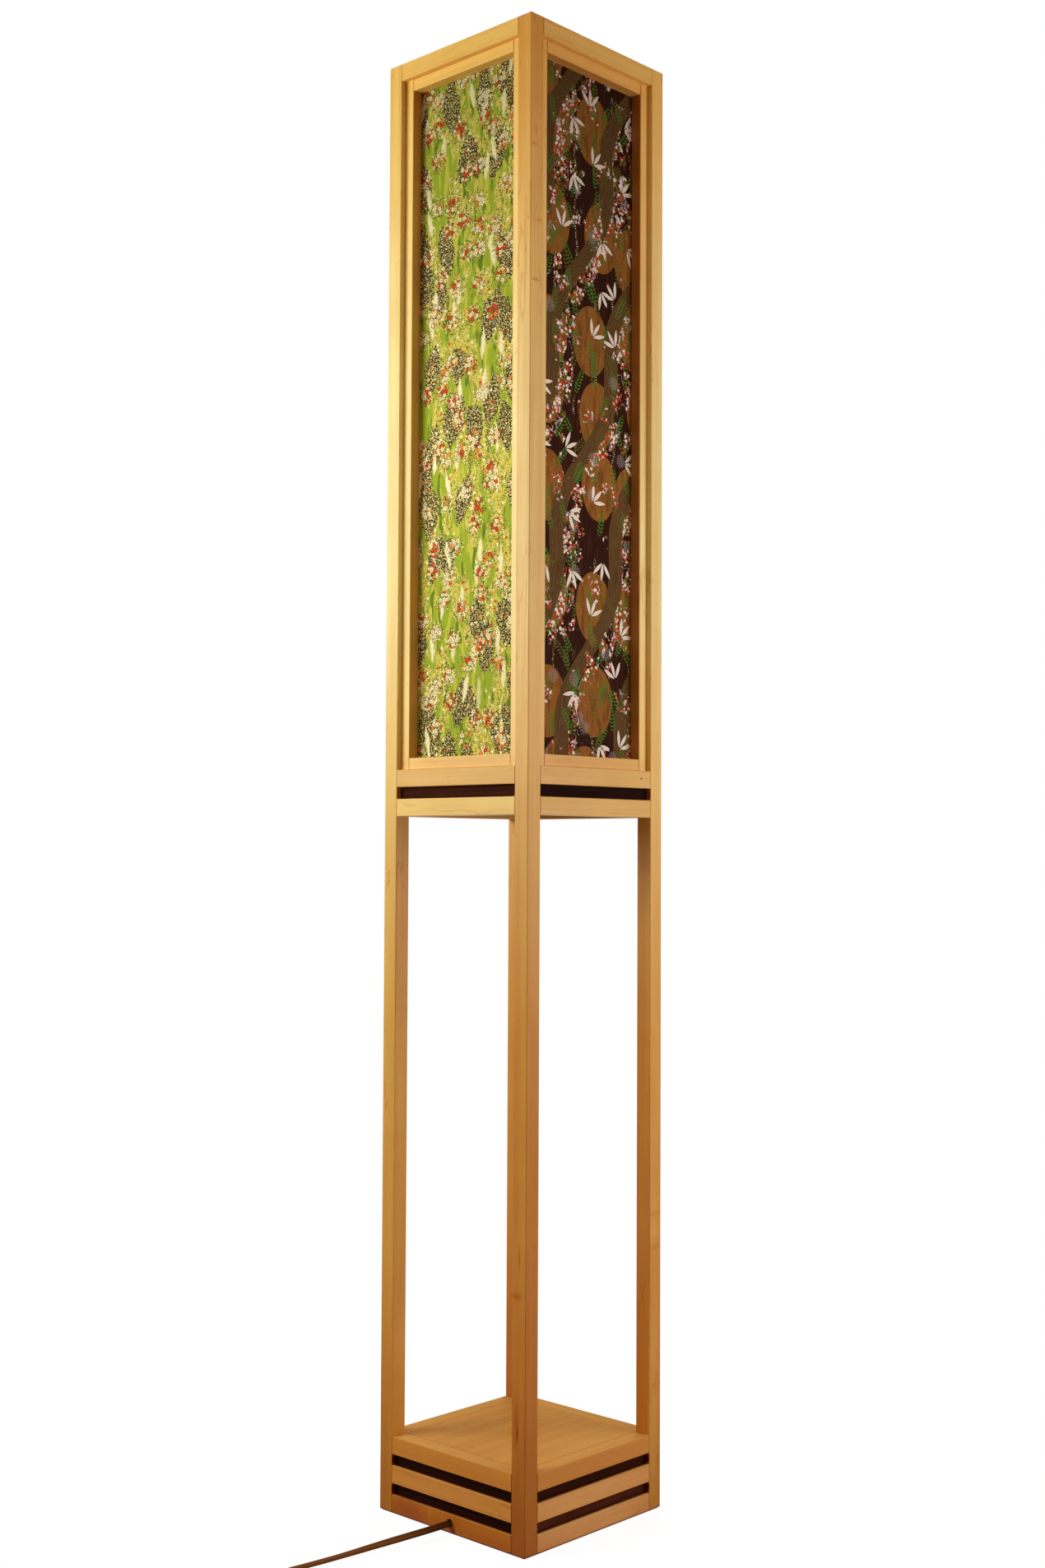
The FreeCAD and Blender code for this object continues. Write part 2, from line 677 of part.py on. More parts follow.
keep(turned("holder_cap", [
    ("pipeRadius + pipeFit / 2", "0"),
    ("capNeckRadius", "0"),
    ("capNeckRadius", "capNeckHeight"),
    ("capRadius - beadOut", "capShoulderHeight - beadOut"),
    ("capRadius", "capShoulderHeight"),
    ("capRadius", "capHeight"),
    (capWallRadius, "capHeight"),
    (capWallRadius, "capShoulderHeight"),
    ("pipeRadius + pipeFit / 2", "capNeckHeight"),
], holderLowText))
shellLow = "(capShoulderHeight + shellGap)"
keep(turned("holder_shell", [
    ("shellRadius - shellWall", shellLow),
    ("shellRadius", shellLow),
    ("shellRadius", shellLow + " + shellLength - 2 * beadOut"),
    ("shellRadius + beadOut", shellLow + " + shellLength - beadOut"),
    ("shellRadius", shellLow + " + shellLength"),
    ("shellRadius - shellWall", shellLow + " + shellLength"),
], holderLowText))
insertFloorHigh = "(" + shellLow + " + insertFloor)"
keep(turned("holder_insert", [
    ("0", shellLow),
    ("insertRadius", shellLow),
    ("insertRadius", shellLow + " + insertLength"),
    ("insertBore", shellLow + " + insertLength"),
    ("insertBore", insertFloorHigh),
    ("0", insertFloorHigh),
], holderLowText))
contactLow = "(" + holderLowText + " + " + insertFloorHigh + ")"
contact = doc.addObject("Part::Cylinder", "holder_contact")
bind(contact, Radius="contactRadius", Height="contactThick", Placement_Base_z=contactLow)
keep(contact, "holder_contact")

# Bulb: screw cap with its tip on the contact, and the glass
bulbLowText = "(" + contactLow + " + contactThick)"
capEdge = "(bulbTipLength + bulbConeLength)"
keep(turned("bulb_cap", [
    ("0", "0"),
    ("bulbTipRadius", "0"),
    ("bulbTipRadius", "bulbTipLength"),
    ("bulbCapRadius", capEdge),
    ("bulbCapRadius", "bulbCapLength"),
    ("0", "bulbCapLength"),
], bulbLowText))
pipeTop = pipeLow + s.pipeLength
contactPlace = pipeTop - s.capNeckHeight + s.capShoulderHeight + s.shellGap + s.insertFloor
bulbLow = contactPlace + s.contactThick
glassLow = bulbLow + s.bulbCapLength
bulbMiddle = glassLow + s.bulbLength - s.bulbRadius
bellyTurn = math.radians(-38)
belly = FreeCAD.Vector(s.bulbRadius * math.cos(bellyTurn), 0, bulbMiddle + s.bulbRadius * math.sin(bellyTurn))
neck = FreeCAD.Vector(s.bulbNeckRadius, 0, glassLow)
along = FreeCAD.Vector(math.sin(bellyTurn), 0, -math.cos(bellyTurn))
sweep = Part.BezierCurve()
sweep.setPoles([belly, belly + along * (belly - neck).Length / 2, neck + FreeCAD.Vector(0, 0, s.bulbRadius / 2), neck])
crown = FreeCAD.Vector(0, 0, bulbMiddle + s.bulbRadius)
crownArc = Part.Arc(crown, FreeCAD.Vector(s.bulbRadius, 0, bulbMiddle), belly)
profile = Part.Wire([
    crownArc.toShape(),
    sweep.toShape(),
    Part.makeLine(neck, FreeCAD.Vector(0, 0, glassLow)),
    Part.makeLine(FreeCAD.Vector(0, 0, glassLow), crown),
])
solid("bulb_glass", Part.Face(profile).revolve(FreeCAD.Vector(), FreeCAD.Vector(0, 0, 1), 360))


# Cords: round tubes along straight runs joined by arcs
def arcedPath(points, bendShare=0.45):
    """A wire of straight runs with a tangent arc at each point, and the arcs' radii."""
    points = [FreeCAD.Vector(*point) for point in points]
    edges = []
    radii = []
    start = points[0]
    for before, corner, after in zip(points, points[1:], points[2:]):
        incoming = (corner - before).normalize()
        outgoing = (after - corner).normalize()
        halfTurn = incoming.getAngle(outgoing) / 2
        shorter = min((corner - before).Length, (after - corner).Length)
        radius = bendShare * shorter / math.tan(halfTurn)
        radii.append(radius)
        first = corner - incoming * (bendShare * shorter)
        last = corner + outgoing * (bendShare * shorter)
        inward = (outgoing - incoming).normalize()
        middle = corner + inward * (radius / math.cos(halfTurn) - radius)
        edges.append(Part.LineSegment(start, first).toShape())
        edges.append(Part.Arc(first, middle, last).toShape())
        start = last
    edges.append(Part.LineSegment(start, points[-1]).toShape())
    return Part.Wire(edges), radii


def biarc(start, heading, end, endHeading):
    """Two arcs that join two places with the headings given there."""
    chord = end - start
    total = heading + endHeading
    square = chord.dot(chord)
    across = chord.dot(total)
    turnPart = 2 * (1 - heading.dot(endHeading))
    if turnPart < nearlyNone:
        reach = square / (2 * across)
    else:
        reach = (math.sqrt(across * across + turnPart * square) - across) / turnPart
    firstKnee = start + heading * reach
    lastKnee = end - endHeading * reach
    middle = (firstKnee + lastKnee) * 0.5
    edges = []
    for place, direction, target in ((start, heading, middle), (end, endHeading * -1, middle)):
        towards = target - place
        along = towards.dot(direction)
        side = towards - direction * along
        radius = towards.dot(towards) / (2 * side.Length)
        centre = place + side.normalize() * radius
        bulge = ((place + target) * 0.5 - centre).normalize()
        edges.append(Part.Arc(place, centre + bulge * radius, target).toShape())
    return edges


def tube(path, diameter):
    """A round tube along a wire, and its volume beside section times length."""
    place = path.Edges[0].valueAt(path.Edges[0].FirstParameter)
    heading = path.Edges[0].tangentAt(path.Edges[0].FirstParameter)
    section = Part.Wire(Part.Circle(place, heading, diameter / 2).toShape())
    shape = path.makePipeShell([section], True, False)
    expected = math.pi * diameter ** 2 / 4 * path.Length
    print("tube length", round(path.Length, 1), "volume share", round(shape.Volume / expected, 4))
    return shape


def facing(degrees):
    return FreeCAD.Vector(math.cos(math.radians(degrees)), math.sin(math.radians(degrees)), 0)


# Free stretch: out of the front bottom rail, down to the floor and to the switch
cordLow = s.cordDiameter / 2 + s.floorGap
frontFace = -s.lampWidth / 2
switchEntry = FreeCAD.Vector(s.switchEntryX, frontFace - s.switchEntryOut, s.switchHeight / 2)
switchAlong = facing(s.switchHeading)
switchCentre = switchEntry + switchAlong * (s.switchLength / 2)
switchExit = switchEntry + switchAlong * s.switchLength
cordRoute = [
    (0, -tailEnd, cordPlace),
    (0, frontFace - s.cordExitOut, cordPlace),
    (s.cordSagX, frontFace - s.cordSagOut, s.cordSagZ),
    (s.cordLandX, frontFace - s.cordLandOut, cordLow),
    (s.cordRestX, frontFace - s.cordRestOut, cordLow),
    tuple(switchEntry - switchAlong * s.cordLastRun),
    tuple(switchEntry),
]
cordPath, cordRadii = arcedPath(cordRoute)
print("cord bend radii", [round(radius, 1) for radius in cordRadii])
solid("power_cord", tube(cordPath, s.cordDiameter))

# Coil: one tube that winds in on the floor, climbs a layer where it turns back, and winds out on top
coilStart = switchExit + switchAlong * (s.cordDiameter + s.coilLeadIn)
coilStart.z = cordLow
coilCentre = coilStart + facing(s.switchHeading + 90) * s.coilRadius
turnsIn = (s.coilHalfTurns - 1) // 2
stations = []
for number in range(s.coilHalfTurns + 1):
    angle = s.switchHeading - 90 + 180 * number
    inward = number if number <= turnsIn else s.coilHalfTurns - number
    radius = s.coilRadius - s.coilPitch / 2 * inward
    if inward == turnsIn:
        radius -= s.coilClimbIn
    lift = s.coilLayer if number > turnsIn else 0
    place = coilCentre + facing(angle) * radius + FreeCAD.Vector(0, 0, lift)
    stations.append((place, facing(angle + 90)))
straightStart = switchExit + switchAlong * s.cordDiameter
plugAlong = facing(s.plugHeading)
plugStart = coilCentre + FreeCAD.Vector(s.plugFromCoilX, s.plugFromCoilY, 0)
plugStart.z = s.plugHeight / 2
straightEnd = plugStart - plugAlong * s.cordDiameter
stations.insert(0, (straightStart, switchAlong))
stations.append((straightEnd, plugAlong))
coilEdges = [Part.LineSegment(switchExit, straightStart).toShape()]
for (start, startHeading), (end, endHeading) in zip(stations, stations[1:]):
    pair = biarc(start, startHeading, end, endHeading)
    coilEdges.extend(pair)
coilEdges.append(Part.LineSegment(straightEnd, plugStart).toShape())
coilPath = Part.Wire(Part.__sortEdges__(coilEdges))
solid("cord_coil", tube(coilPath, s.cordDiameter))
wholeLength = cordPath.Length + s.switchLength + coilPath.Length
print("cord from clamp to plug", round(wholeLength))
samples = coilPath.discretize(Distance=s.cordDiameter / 2)
farAlong = 3 * s.cordDiameter
step = coilPath.Length / (len(samples) - 1)
skip = int(farAlong / step)
nearest = min(samples[one].distanceToPoint(samples[other])
              for one in range(len(samples)) for other in range(one + skip, len(samples)))
print("coil's least gap to itself", round(nearest - s.cordDiameter, 2))

# Lead inside the lamp: connectors, over the ballast, up the rear left post, under the lamp board, up the pipe
inside = s.lampWidth / 2 - s.stick
wireAcross = inside + (s.wirewayCover + s.wireway) / 2
notchMiddle = inside - s.wirewayNotch / 2
lowSlot = s.feltThick + s.stick + s.baseSlot / 2
highSlot = s.lightBoxLow + s.stick + s.middleSlot / 2
overBallast = floorTop + s.ballastThick + s.leadDiameter / 2 + s.connectorGap
besideCord = s.cordDiameter / 2 + s.leadDiameter
mouthHeight = floorTop + s.connectorMouth
pipeMouth = pipeLow - s.pipeEntryDrop
leadRoute = [
    (-besideCord, -tailEnd, mouthHeight),
    (-besideCord, -tailEnd - 1.5 * s.leadDiameter, mouthHeight),
    (-0.20 * inside, -0.82 * inside, mouthHeight),
    (-0.36 * inside, -0.74 * inside, (mouthHeight + overBallast) / 2),
    (-0.50 * inside, -0.60 * inside, overBallast),
    (-0.60 * inside, -0.28 * inside, overBallast),
    (-0.68 * inside, 0.12 * inside, overBallast),
    (-0.78 * inside, 0.52 * inside, overBallast),
    (-0.89 * inside, 0.81 * inside, (lowSlot + overBallast) / 2),
    (-notchMiddle, 0.95 * inside, lowSlot),
    (-notchMiddle, wireAcross, lowSlot),
    (-wireAcross, wireAcross, lowSlot),
    (-wireAcross, wireAcross, highSlot),
    (-notchMiddle, wireAcross, highSlot),
    (-notchMiddle, 0.92 * inside, highSlot),
    (-0.80 * inside, 0.72 * inside, highSlot),
    (-0.54 * inside, 0.43 * inside, highSlot - s.connectorGap),
    (-0.29 * inside, 0.20 * inside, (highSlot + pipeMouth) / 2),
    (-0.11 * inside, 0.08 * inside, pipeMouth - s.connectorGap),
    (0, 0, pipeMouth),
    (0, 0, contactPlace - s.insertFloor),
]
leadPath, leadRadii = arcedPath(leadRoute)
print("lead bend radii", [round(radius, 1) for radius in leadRadii])
solid("inner_lead", tube(leadPath, s.leadDiameter))


# Switch on the cord: two halves held by one screw, with a ribbed wheel that turns on it
def onCord(thing, centre, degrees):
    thing.Placement = FreeCAD.Placement(FreeCAD.Vector(centre.x, centre.y, 0),
                                        FreeCAD.Rotation(FreeCAD.Vector(0, 0, 1), degrees))
    return thing


endSide = "((switchWidth - switchEndWidth) / 2)"
switchPlan = [
    ("0", endSide),
    ("switchTaper", "0"),
    ("switchLength - switchTaper", "0"),
    ("switchLength", endSide),
    ("switchLength", "switchWidth - " + endSide),
    ("switchLength - switchTaper", "switchWidth"),
    ("switchTaper", "switchWidth"),
    ("0", "switchWidth - " + endSide),
]
recessHigh = "(wheelThick / 2 + wheelGap)"
for label, low, outerFace in (("switch_base", "0", 0), ("switch_cover", "switchHeight / 2", 1)):
    half = newBody(label)
    sketch = outline(sketchOn(half, label + "_plan", "XY_Plane", low), switchPlan)
    bind(sketch, AttachmentOffset_Base_x="-switchLength / 2", AttachmentOffset_Base_y="-switchWidth / 2")
    pad = half.newObject("PartDesign::Pad", label + "_half")
    pad.Profile = sketch
    bind(pad, Length="switchHeight / 2")
    doc.recompute()
    faceHeight = s.switchHeight * outerFace
    roundEdges(half, pad, "switchRound",
              lambda edge: all(abs(vertex.Z - faceHeight) < s.easedEdge for vertex in edge.Vertexes))
    recessLow = "switchHeight / 2" if outerFace else "switchHeight / 2 - " + recessHigh
    drill(half, "wheelRecess", "wheelRadius + wheelGap", recessHigh, ("0", "0", recessLow))
    screwLow = "switchHeight / 2 - overrun" if outerFace else "switchRound"
    drill(half, "screwHole", "switchScrewRadius + screwFit", "switchHeight", ("0", "0", screwLow))
    if outerFace:
        drill(half, "screwSeat", "switchScrewHeadRadius + screwFit", "switchScrewHeadHeight + overrun",
              ("0", "0", "switchHeight - switchScrewHeadHeight"))
    keep(onCord(half, switchCentre, s.switchHeading))
wheel = newBody("switch_wheel")
disk = wheel.newObject("PartDesign::AdditiveCylinder", "disk")
bind(disk, Radius="wheelRadius", Height="wheelThick", Placement_Base_z="(switchHeight - wheelThick) / 2")
drill(wheel, "bore", "switchScrewRadius + wheelBoreFit", "switchHeight", ("0", "0", "0"))
groove = drill(wheel, "groove", "wheelGrooveRadius", "switchHeight", ("wheelRadius", "0", "0"))
ribs = wheel.newObject("PartDesign::PolarPattern", "grooves")
ribs.Originals = [groove]
ribs.Axis = (next(line for line in wheel.Origin.OriginFeatures if line.Role == "Z_Axis"), [""])
ribs.Angle = 360.0
bind(ribs, Occurrences="wheelGrooves")
wheel.Tip = ribs
keep(onCord(wheel, switchCentre, s.switchHeading))
switchScrew = turned("switch_screw", [
    ("0", "switchRound"),
    ("switchScrewRadius", "switchRound"),
    ("switchScrewRadius", "switchHeight - switchScrewHeadHeight"),
    ("switchScrewHeadRadius", "switchHeight - switchScrewHeadHeight"),
    ("switchScrewHeadRadius", "switchHeight - screwSlotDepth / 2"),
    ("0", "switchHeight - screwSlotDepth / 2"),
])
block(switchScrew, "Subtractive", "slot",
      ("-switchScrewHeadRadius", "-screwSlotWidth / 2", "switchHeight - 1.5 * screwSlotDepth"),
      ("2 * switchScrewHeadRadius", "screwSlotWidth", "screwSlotDepth + overrun"))
keep(onCord(switchScrew, switchCentre, s.switchHeading))

# Plug: moulded body with a tapered neck, two flat blades let into its face
waistSide = "((plugWidth - plugWaist) / 2)"
backSide = "((plugWidth - plugBackWidth) / 2)"
plugPlan = [
    ("0", backSide),
    ("0.35 * plugLength", waistSide),
    ("0.78 * plugLength", waistSide),
    ("0.84 * plugLength", "0"),
    ("plugLength", "0"),
    ("plugLength", "plugWidth"),
    ("0.84 * plugLength", "plugWidth"),
    ("0.78 * plugLength", "plugWidth - " + waistSide),
    ("0.35 * plugLength", "plugWidth - " + waistSide),
    ("0", "plugWidth - " + backSide),
]
plug = newBody("plug_body")
sketch = outline(sketchOn(plug, "plug_plan", "XY_Plane"), plugPlan)
bind(sketch, AttachmentOffset_Base_x="plugNeckLength", AttachmentOffset_Base_y="-plugWidth / 2")
pad = plug.newObject("PartDesign::Pad", "plug_block")
pad.Profile = sketch
bind(pad, Length="plugHeight")
doc.recompute()
roundEdges(plug, pad, "plugRound",
          lambda edge: abs(edge.Vertexes[0].Z - edge.Vertexes[1].Z) < s.easedEdge
          and not (edge.Vertexes[0].X > s.plugNeckLength + 0.95 * s.plugLength
                   and edge.Vertexes[1].X > s.plugNeckLength + 0.95 * s.plugLength))
neck = plug.newObject("PartDesign::AdditiveCone", "neck")
neck.Placement = FreeCAD.Placement(FreeCAD.Vector(), FreeCAD.Rotation(FreeCAD.Vector(0, 1, 0), 90))
bind(neck, Radius1="plugNeckRadius", Radius2="plugHeight / 2 - plugRound / 2", Height="plugNeckLength + plugRound",
     Placement_Base_z="plugHeight / 2")
blades = []
for name, offset, wide in (("narrow", "-bladeSpread / 2", "bladeWidth"), ("wide", "bladeSpread / 2", "bladeWide")):
    corner = ("plugNeckLength + plugLength - bladeSunk", offset + " - bladeThick / 2",
              "plugHeight / 2 - " + wide + " / 2")
    extent = ("bladeSunk + bladeLength", "bladeThick", wide)
    block(plug, "Subtractive", "bladeSlot", corner, extent)
    blade = newBody("blade_" + name)
    strap = block(blade, "Additive", "strap", corner, extent)
    drill(blade, "hole", "bladeHoleRadius", "bladeSpread",
          ("plugNeckLength + plugLength + bladeLength - 2 * bladeHoleRadius",
           offset + " - bladeSpread / 2", "plugHeight / 2"), axis="y")
    blades.append(onCord(blade, plugStart, s.plugHeading))
keep(onCord(plug, plugStart, s.plugHeading))
group("plug_blades", blades)

doc.recompute()
failed = [thing.Label for thing in doc.Objects if "Invalid" in thing.State or "Error" in thing.State]
if failed:
    raise RuntimeError("failed objects: " + ", ".join(failed))
for node in nodes:
    if node.Shape.isNull() or not node.Shape.isValid():
        raise RuntimeError("bad shape: " + node.Label)
os.makedirs("parts", exist_ok=True)
for node in nodes:
    node.Shape.exportStep("parts/" + node.Label + ".step")
print(len(nodes), "sub-parts,", sum(len(node.Shape.Solids) for node in nodes), "solids")
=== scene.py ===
# Andon floor lamp: maple sticks, printed paper panels, flat brown cord with a thumbwheel switch.
import bpy
import bmesh
import math
from mathutils import Matrix, Vector


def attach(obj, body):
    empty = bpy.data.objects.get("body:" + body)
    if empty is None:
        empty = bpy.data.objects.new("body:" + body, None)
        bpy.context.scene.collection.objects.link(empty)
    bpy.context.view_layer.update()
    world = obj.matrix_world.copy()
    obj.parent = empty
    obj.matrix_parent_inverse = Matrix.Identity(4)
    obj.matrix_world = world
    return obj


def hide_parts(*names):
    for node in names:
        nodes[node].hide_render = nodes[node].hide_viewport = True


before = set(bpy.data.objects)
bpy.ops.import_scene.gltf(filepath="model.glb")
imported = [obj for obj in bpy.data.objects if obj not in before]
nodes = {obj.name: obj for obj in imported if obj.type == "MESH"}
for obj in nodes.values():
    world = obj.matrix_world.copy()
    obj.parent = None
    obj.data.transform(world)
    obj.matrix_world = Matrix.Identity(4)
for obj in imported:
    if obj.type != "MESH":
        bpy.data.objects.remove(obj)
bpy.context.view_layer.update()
scene = bpy.context.scene
mm = 0.001


def linear(hexColour):  # sRGB hex to the linear values that the shader sockets take
    parts = [int(hexColour[start:start + 2], 16) / 255 for start in (1, 3, 5)]
    return tuple(p / 12.92 if p <= 0.04045 else ((p + 0.055) / 1.055) ** 2.4 for p in parts) + (1.0,)


def addNode(tree, kind, settings=None, links=None):  # a node with its settings, and its inputs set or linked
    node = tree.nodes.new("ShaderNode" + kind)
    settings = {"operation": settings} if isinstance(settings, str) else settings or {}
    links = dict(enumerate(links)) if isinstance(links, tuple) else links or {}
    for key, value in settings.items():
        setattr(node, key, value)
    for key, value in links.items():
        if isinstance(key, int):
            socket = node.inputs[key]
        else:
            socket = next(s for s in node.inputs if s.name == key and s.enabled)
        if isinstance(value, bpy.types.Node):
            value = next(s for s in value.outputs if s.enabled)
        if isinstance(value, bpy.types.NodeSocket):
            tree.links.new(value, socket)
        else:
            socket.default_value = value
    return node


def startMaterial(name, sockets=None):  # an empty node tree with its surface shader and the piece's own coordinates
    material = bpy.data.materials.new(name)
    material.use_nodes = True
    tree = material.node_tree
    tree.nodes.clear()
    surface = addNode(tree, "BsdfPrincipled", None, sockets)
    addNode(tree, "OutputMaterial", links={"Surface": surface})
    place = addNode(tree, "TexCoord").outputs["Object"]
    return material, tree, surface, place


def fillRamp(ramp, stops):  # colours at their positions, on a ramp that starts with two stops
    for number, (position, colour) in enumerate(stops):
        stop = ramp.elements[number] if number < 2 else ramp.elements.new(position)
        stop.position = position
        stop.color = linear(colour)


def spotDistance(tree, place, centre, reach):  # 0 in the middle of an oval spot and 1 on its rim, sizes in millimetres
    away = addNode(tree, "VectorMath", "SUBTRACT", (place, tuple(c * mm for c in centre)))
    away = addNode(tree, "VectorMath", "DIVIDE", (away, tuple(r * mm for r in reach)))
    return addNode(tree, "VectorMath", "LENGTH", (away,)).outputs["Value"]


def fade(tree, value, low, high, first=0.0, last=1.0, shape="LINEAR"):  # a value's range turned into a share or a brightness
    return addNode(tree, "MapRange", {"interpolation_type": shape}, {
        "Value": value, "From Min": low, "From Max": high, "To Min": first, "To Max": last})


def mottle(tree, surface, pattern, colour, tones, span=(0.3, 0.7), over=()):  # a fine pattern darkens and lightens the colour
    tone = fade(tree, pattern, *span, *tones)
    for other in over:
        tone = addNode(tree, "Math", "MULTIPLY", (tone, other))
    shaded = addNode(tree, "VectorMath", "SCALE", {0: linear(colour)[:3], "Scale": tone})
    tree.links.new(shaded.outputs[0], surface.inputs["Base Color"])


def stir(tree, surface, pattern, low, high, span=(0.3, 0.7)):  # a fine pattern changes the roughness
    tree.links.new(fade(tree, pattern, *span, low, high).outputs[0], surface.inputs["Roughness"])


def emboss(tree, surface, pattern, strength, depth):  # a fine pattern raises the surface by this many millimetres
    bump = addNode(tree, "Bump", None, {"Strength": strength, "Distance": depth * mm, "Height": pattern})
    tree.links.new(bump.outputs[0], surface.inputs["Normal"])


def dress(nodeName, material):  # a CAD node takes a material in all its slots
    piece = nodes[nodeName]
    for place in piece.material_slots:
        place.material = material
    if not piece.material_slots:
        piece.data.materials.append(material)


def deselectAll():
    if bpy.context.object and bpy.context.object.mode != "OBJECT":
        bpy.ops.object.mode_set(mode="OBJECT")
    bpy.ops.object.select_all(action="DESELECT")


# camera, at the photograph's place: seen from the near corner, a little below the lamp's middle
cameraPlace = {
    "place": (1.4368, -1.5249, 0.7120), "yaw": 43.329, "pitch": 2.115, "roll": 0.269,  # metres and degrees
    "lens": 43.59, "sensor": 36, "nearest": 10 * mm,
}
bpy.ops.object.camera_add(location=cameraPlace["place"])
camera = bpy.context.object
camera.name = "camera"
camera.rotation_euler = (Matrix.Rotation(math.radians(cameraPlace["yaw"]), 3, "Z")
                         @ Matrix.Rotation(math.radians(90 + cameraPlace["pitch"]), 3, "X")
                         @ Matrix.Rotation(math.radians(cameraPlace["roll"]), 3, "Z")).to_euler()
camera.data.lens = cameraPlace["lens"]
camera.data.sensor_width = cameraPlace["sensor"]
camera.data.clip_start = cameraPlace["nearest"]
scene.camera = camera
print("camera made")


# cords: a flat two-core cord from the hole in the base to the switch, and on to the coil and the plug
cordSizes = {
    "width": 7.6 * mm, "thickness": 3.8 * mm,
    "coreArc": 148, "corePoints": 11,  # each round core shows this many degrees to each side, up to the groove
    "exit": (0, -108 * mm, 10.7 * mm),
    "tiltAtHole": 30, "twistFrom": 85 * mm, "twistTo": 165 * mm,  # the broad face leans to the near corner, in degrees
    "switchHeading": -70, "insideSwitch": 4 * mm, "clearOfSwitch": 7.6 * mm,
    "coilCentre": (59.501 * mm, -397.307 * mm), "coilRadius": 51.6 * mm, "coilPitch": 4.1 * mm, "coilStart": -160,
    "coilHalfTurns": 11, "lowHalfTurns": 5, "pointsPerHalfTurn": 8, "coilLow": 3.95 * mm, "coilHigh": 11.95 * mm,
    "coilSqueeze": 1.6 * mm,  # the innermost turn is drawn in a little where it climbs
    "coilSwell": 1.019,  # the smooth line runs a little inside its control points
    "onEdgeFrom": 10 * mm, "onEdgeBy": 45 * mm, "flatFrom": 50 * mm, "flatBy": 20 * mm,  # from the switch, and to the plug
}


def routeLine(name, points):  # the smooth line that a cord's control points give
    data = bpy.data.curves.new(name, "CURVE")
    data.dimensions = "3D"
    spline = data.splines.new("NURBS")
    spline.points.add(len(points) - 1)
    for control, place in zip(spline.points, points):
        control.co = (*place, 1)
    spline.order_u = 3
    spline.use_endpoint_u = True
    spline.resolution_u = 10
    holder = bpy.data.objects.new(name, data)
    scene.collection.objects.link(holder)
    bpy.context.view_layer.update()
    lineMesh = bpy.data.meshes.new_from_object(holder)
    line = [v.co.copy() for v in lineMesh.vertices]
    bpy.data.objects.remove(holder)
    bpy.data.meshes.remove(lineMesh)
    return line


def lineLength(line):
    return sum((b - a).length for a, b in zip(line, line[1:]))


def flatCord(name, line, lean, sizes=cordSizes):  # two round cores side by side, lean(distance) in degrees
    lobe = sizes["thickness"] / 2
    section = []
    for side in (1, -1):
        for step in range(sizes["corePoints"]):
            angle = math.radians(sizes["coreArc"] * (2 * step / (sizes["corePoints"] - 1) - 1))
            section.append((side * (sizes["width"] / 2 - lobe + lobe * math.cos(angle)), side * lobe * math.sin(angle)))
    mesh = bmesh.new()
    around = mesh.loops.layers.uv.new("cord")
    rings = []
    run = 0.0
    runs = []
    for number, place in enumerate(line):
        before = line[max(number - 1, 0)]
        after = line[min(number + 1, len(line) - 1)]
        ahead = (after - before).normalized()
        across = Vector((0, 0, 1)).cross(ahead).normalized()
        over = ahead.cross(across)
        run += (place - before).length
        turn = math.radians(lean(run))
        wide = across * math.cos(turn) + over * math.sin(turn)
        thin = ahead.cross(wide)
        rings.append([mesh.verts.new(place + wide * u + thin * v) for u, v in section])
        runs.append(run)
    count = len(section)
    for number in range(len(rings) - 1):
        for step in range(count):
            beside = (step + 1) % count
            onward = number + 1
            face = mesh.faces.new((rings[number][step], rings[number][beside], rings[onward][beside], rings[onward][step]))
            face.smooth = True
            corners = ((number, step), (number, step + 1), (onward, step + 1), (onward, step))
            for loop, (along, part) in zip(face.loops, corners):
                loop[around].uv = (runs[along], part / count)
    mesh.faces.new(list(reversed(rings[0])))
    mesh.faces.new(rings[-1])
    bmesh.ops.recalc_face_normals(mesh, faces=mesh.faces)
    data = bpy.data.meshes.new(name)
    mesh.to_mesh(data)
    mesh.free()
    piece = bpy.data.objects.new(name, data)
    scene.collection.objects.link(piece)
    return piece


def smoothStep(value, low, high):
    share = min(max((value - low) / (high - low), 0.0), 1.0)
    return share * share * (3 - 2 * share)


firstRoute = [Vector(p) * mm for p in (
    (0, -82, 10.7), (0, -120, 10.7), (-11.5, -182, 8.4), (-30, -238, 2.0), (-36, -280, 2.0),
    (-29.21, -304.45, 6.6), (-21.9, -324.5, 7.5))]
firstLine = routeLine("firstRoute", firstRoute)


def firstLean(run, sizes=cordSizes):  # the cord twists on its way down to the floor, where it lies flat
    return -sizes["tiltAtHole"] * (1 - smoothStep(run, sizes["twistFrom"], sizes["twistTo"]))


firstCord = flatCord("cord_to_switch", firstLine, firstLean)

switchTurn = math.radians(cordSizes["switchHeading"])
switchWay = Vector((math.cos(switchTurn), math.sin(switchTurn), 0))
switchExit = Vector((0.205, -385.261, 7.5)) * mm  # where the cord leaves the switch


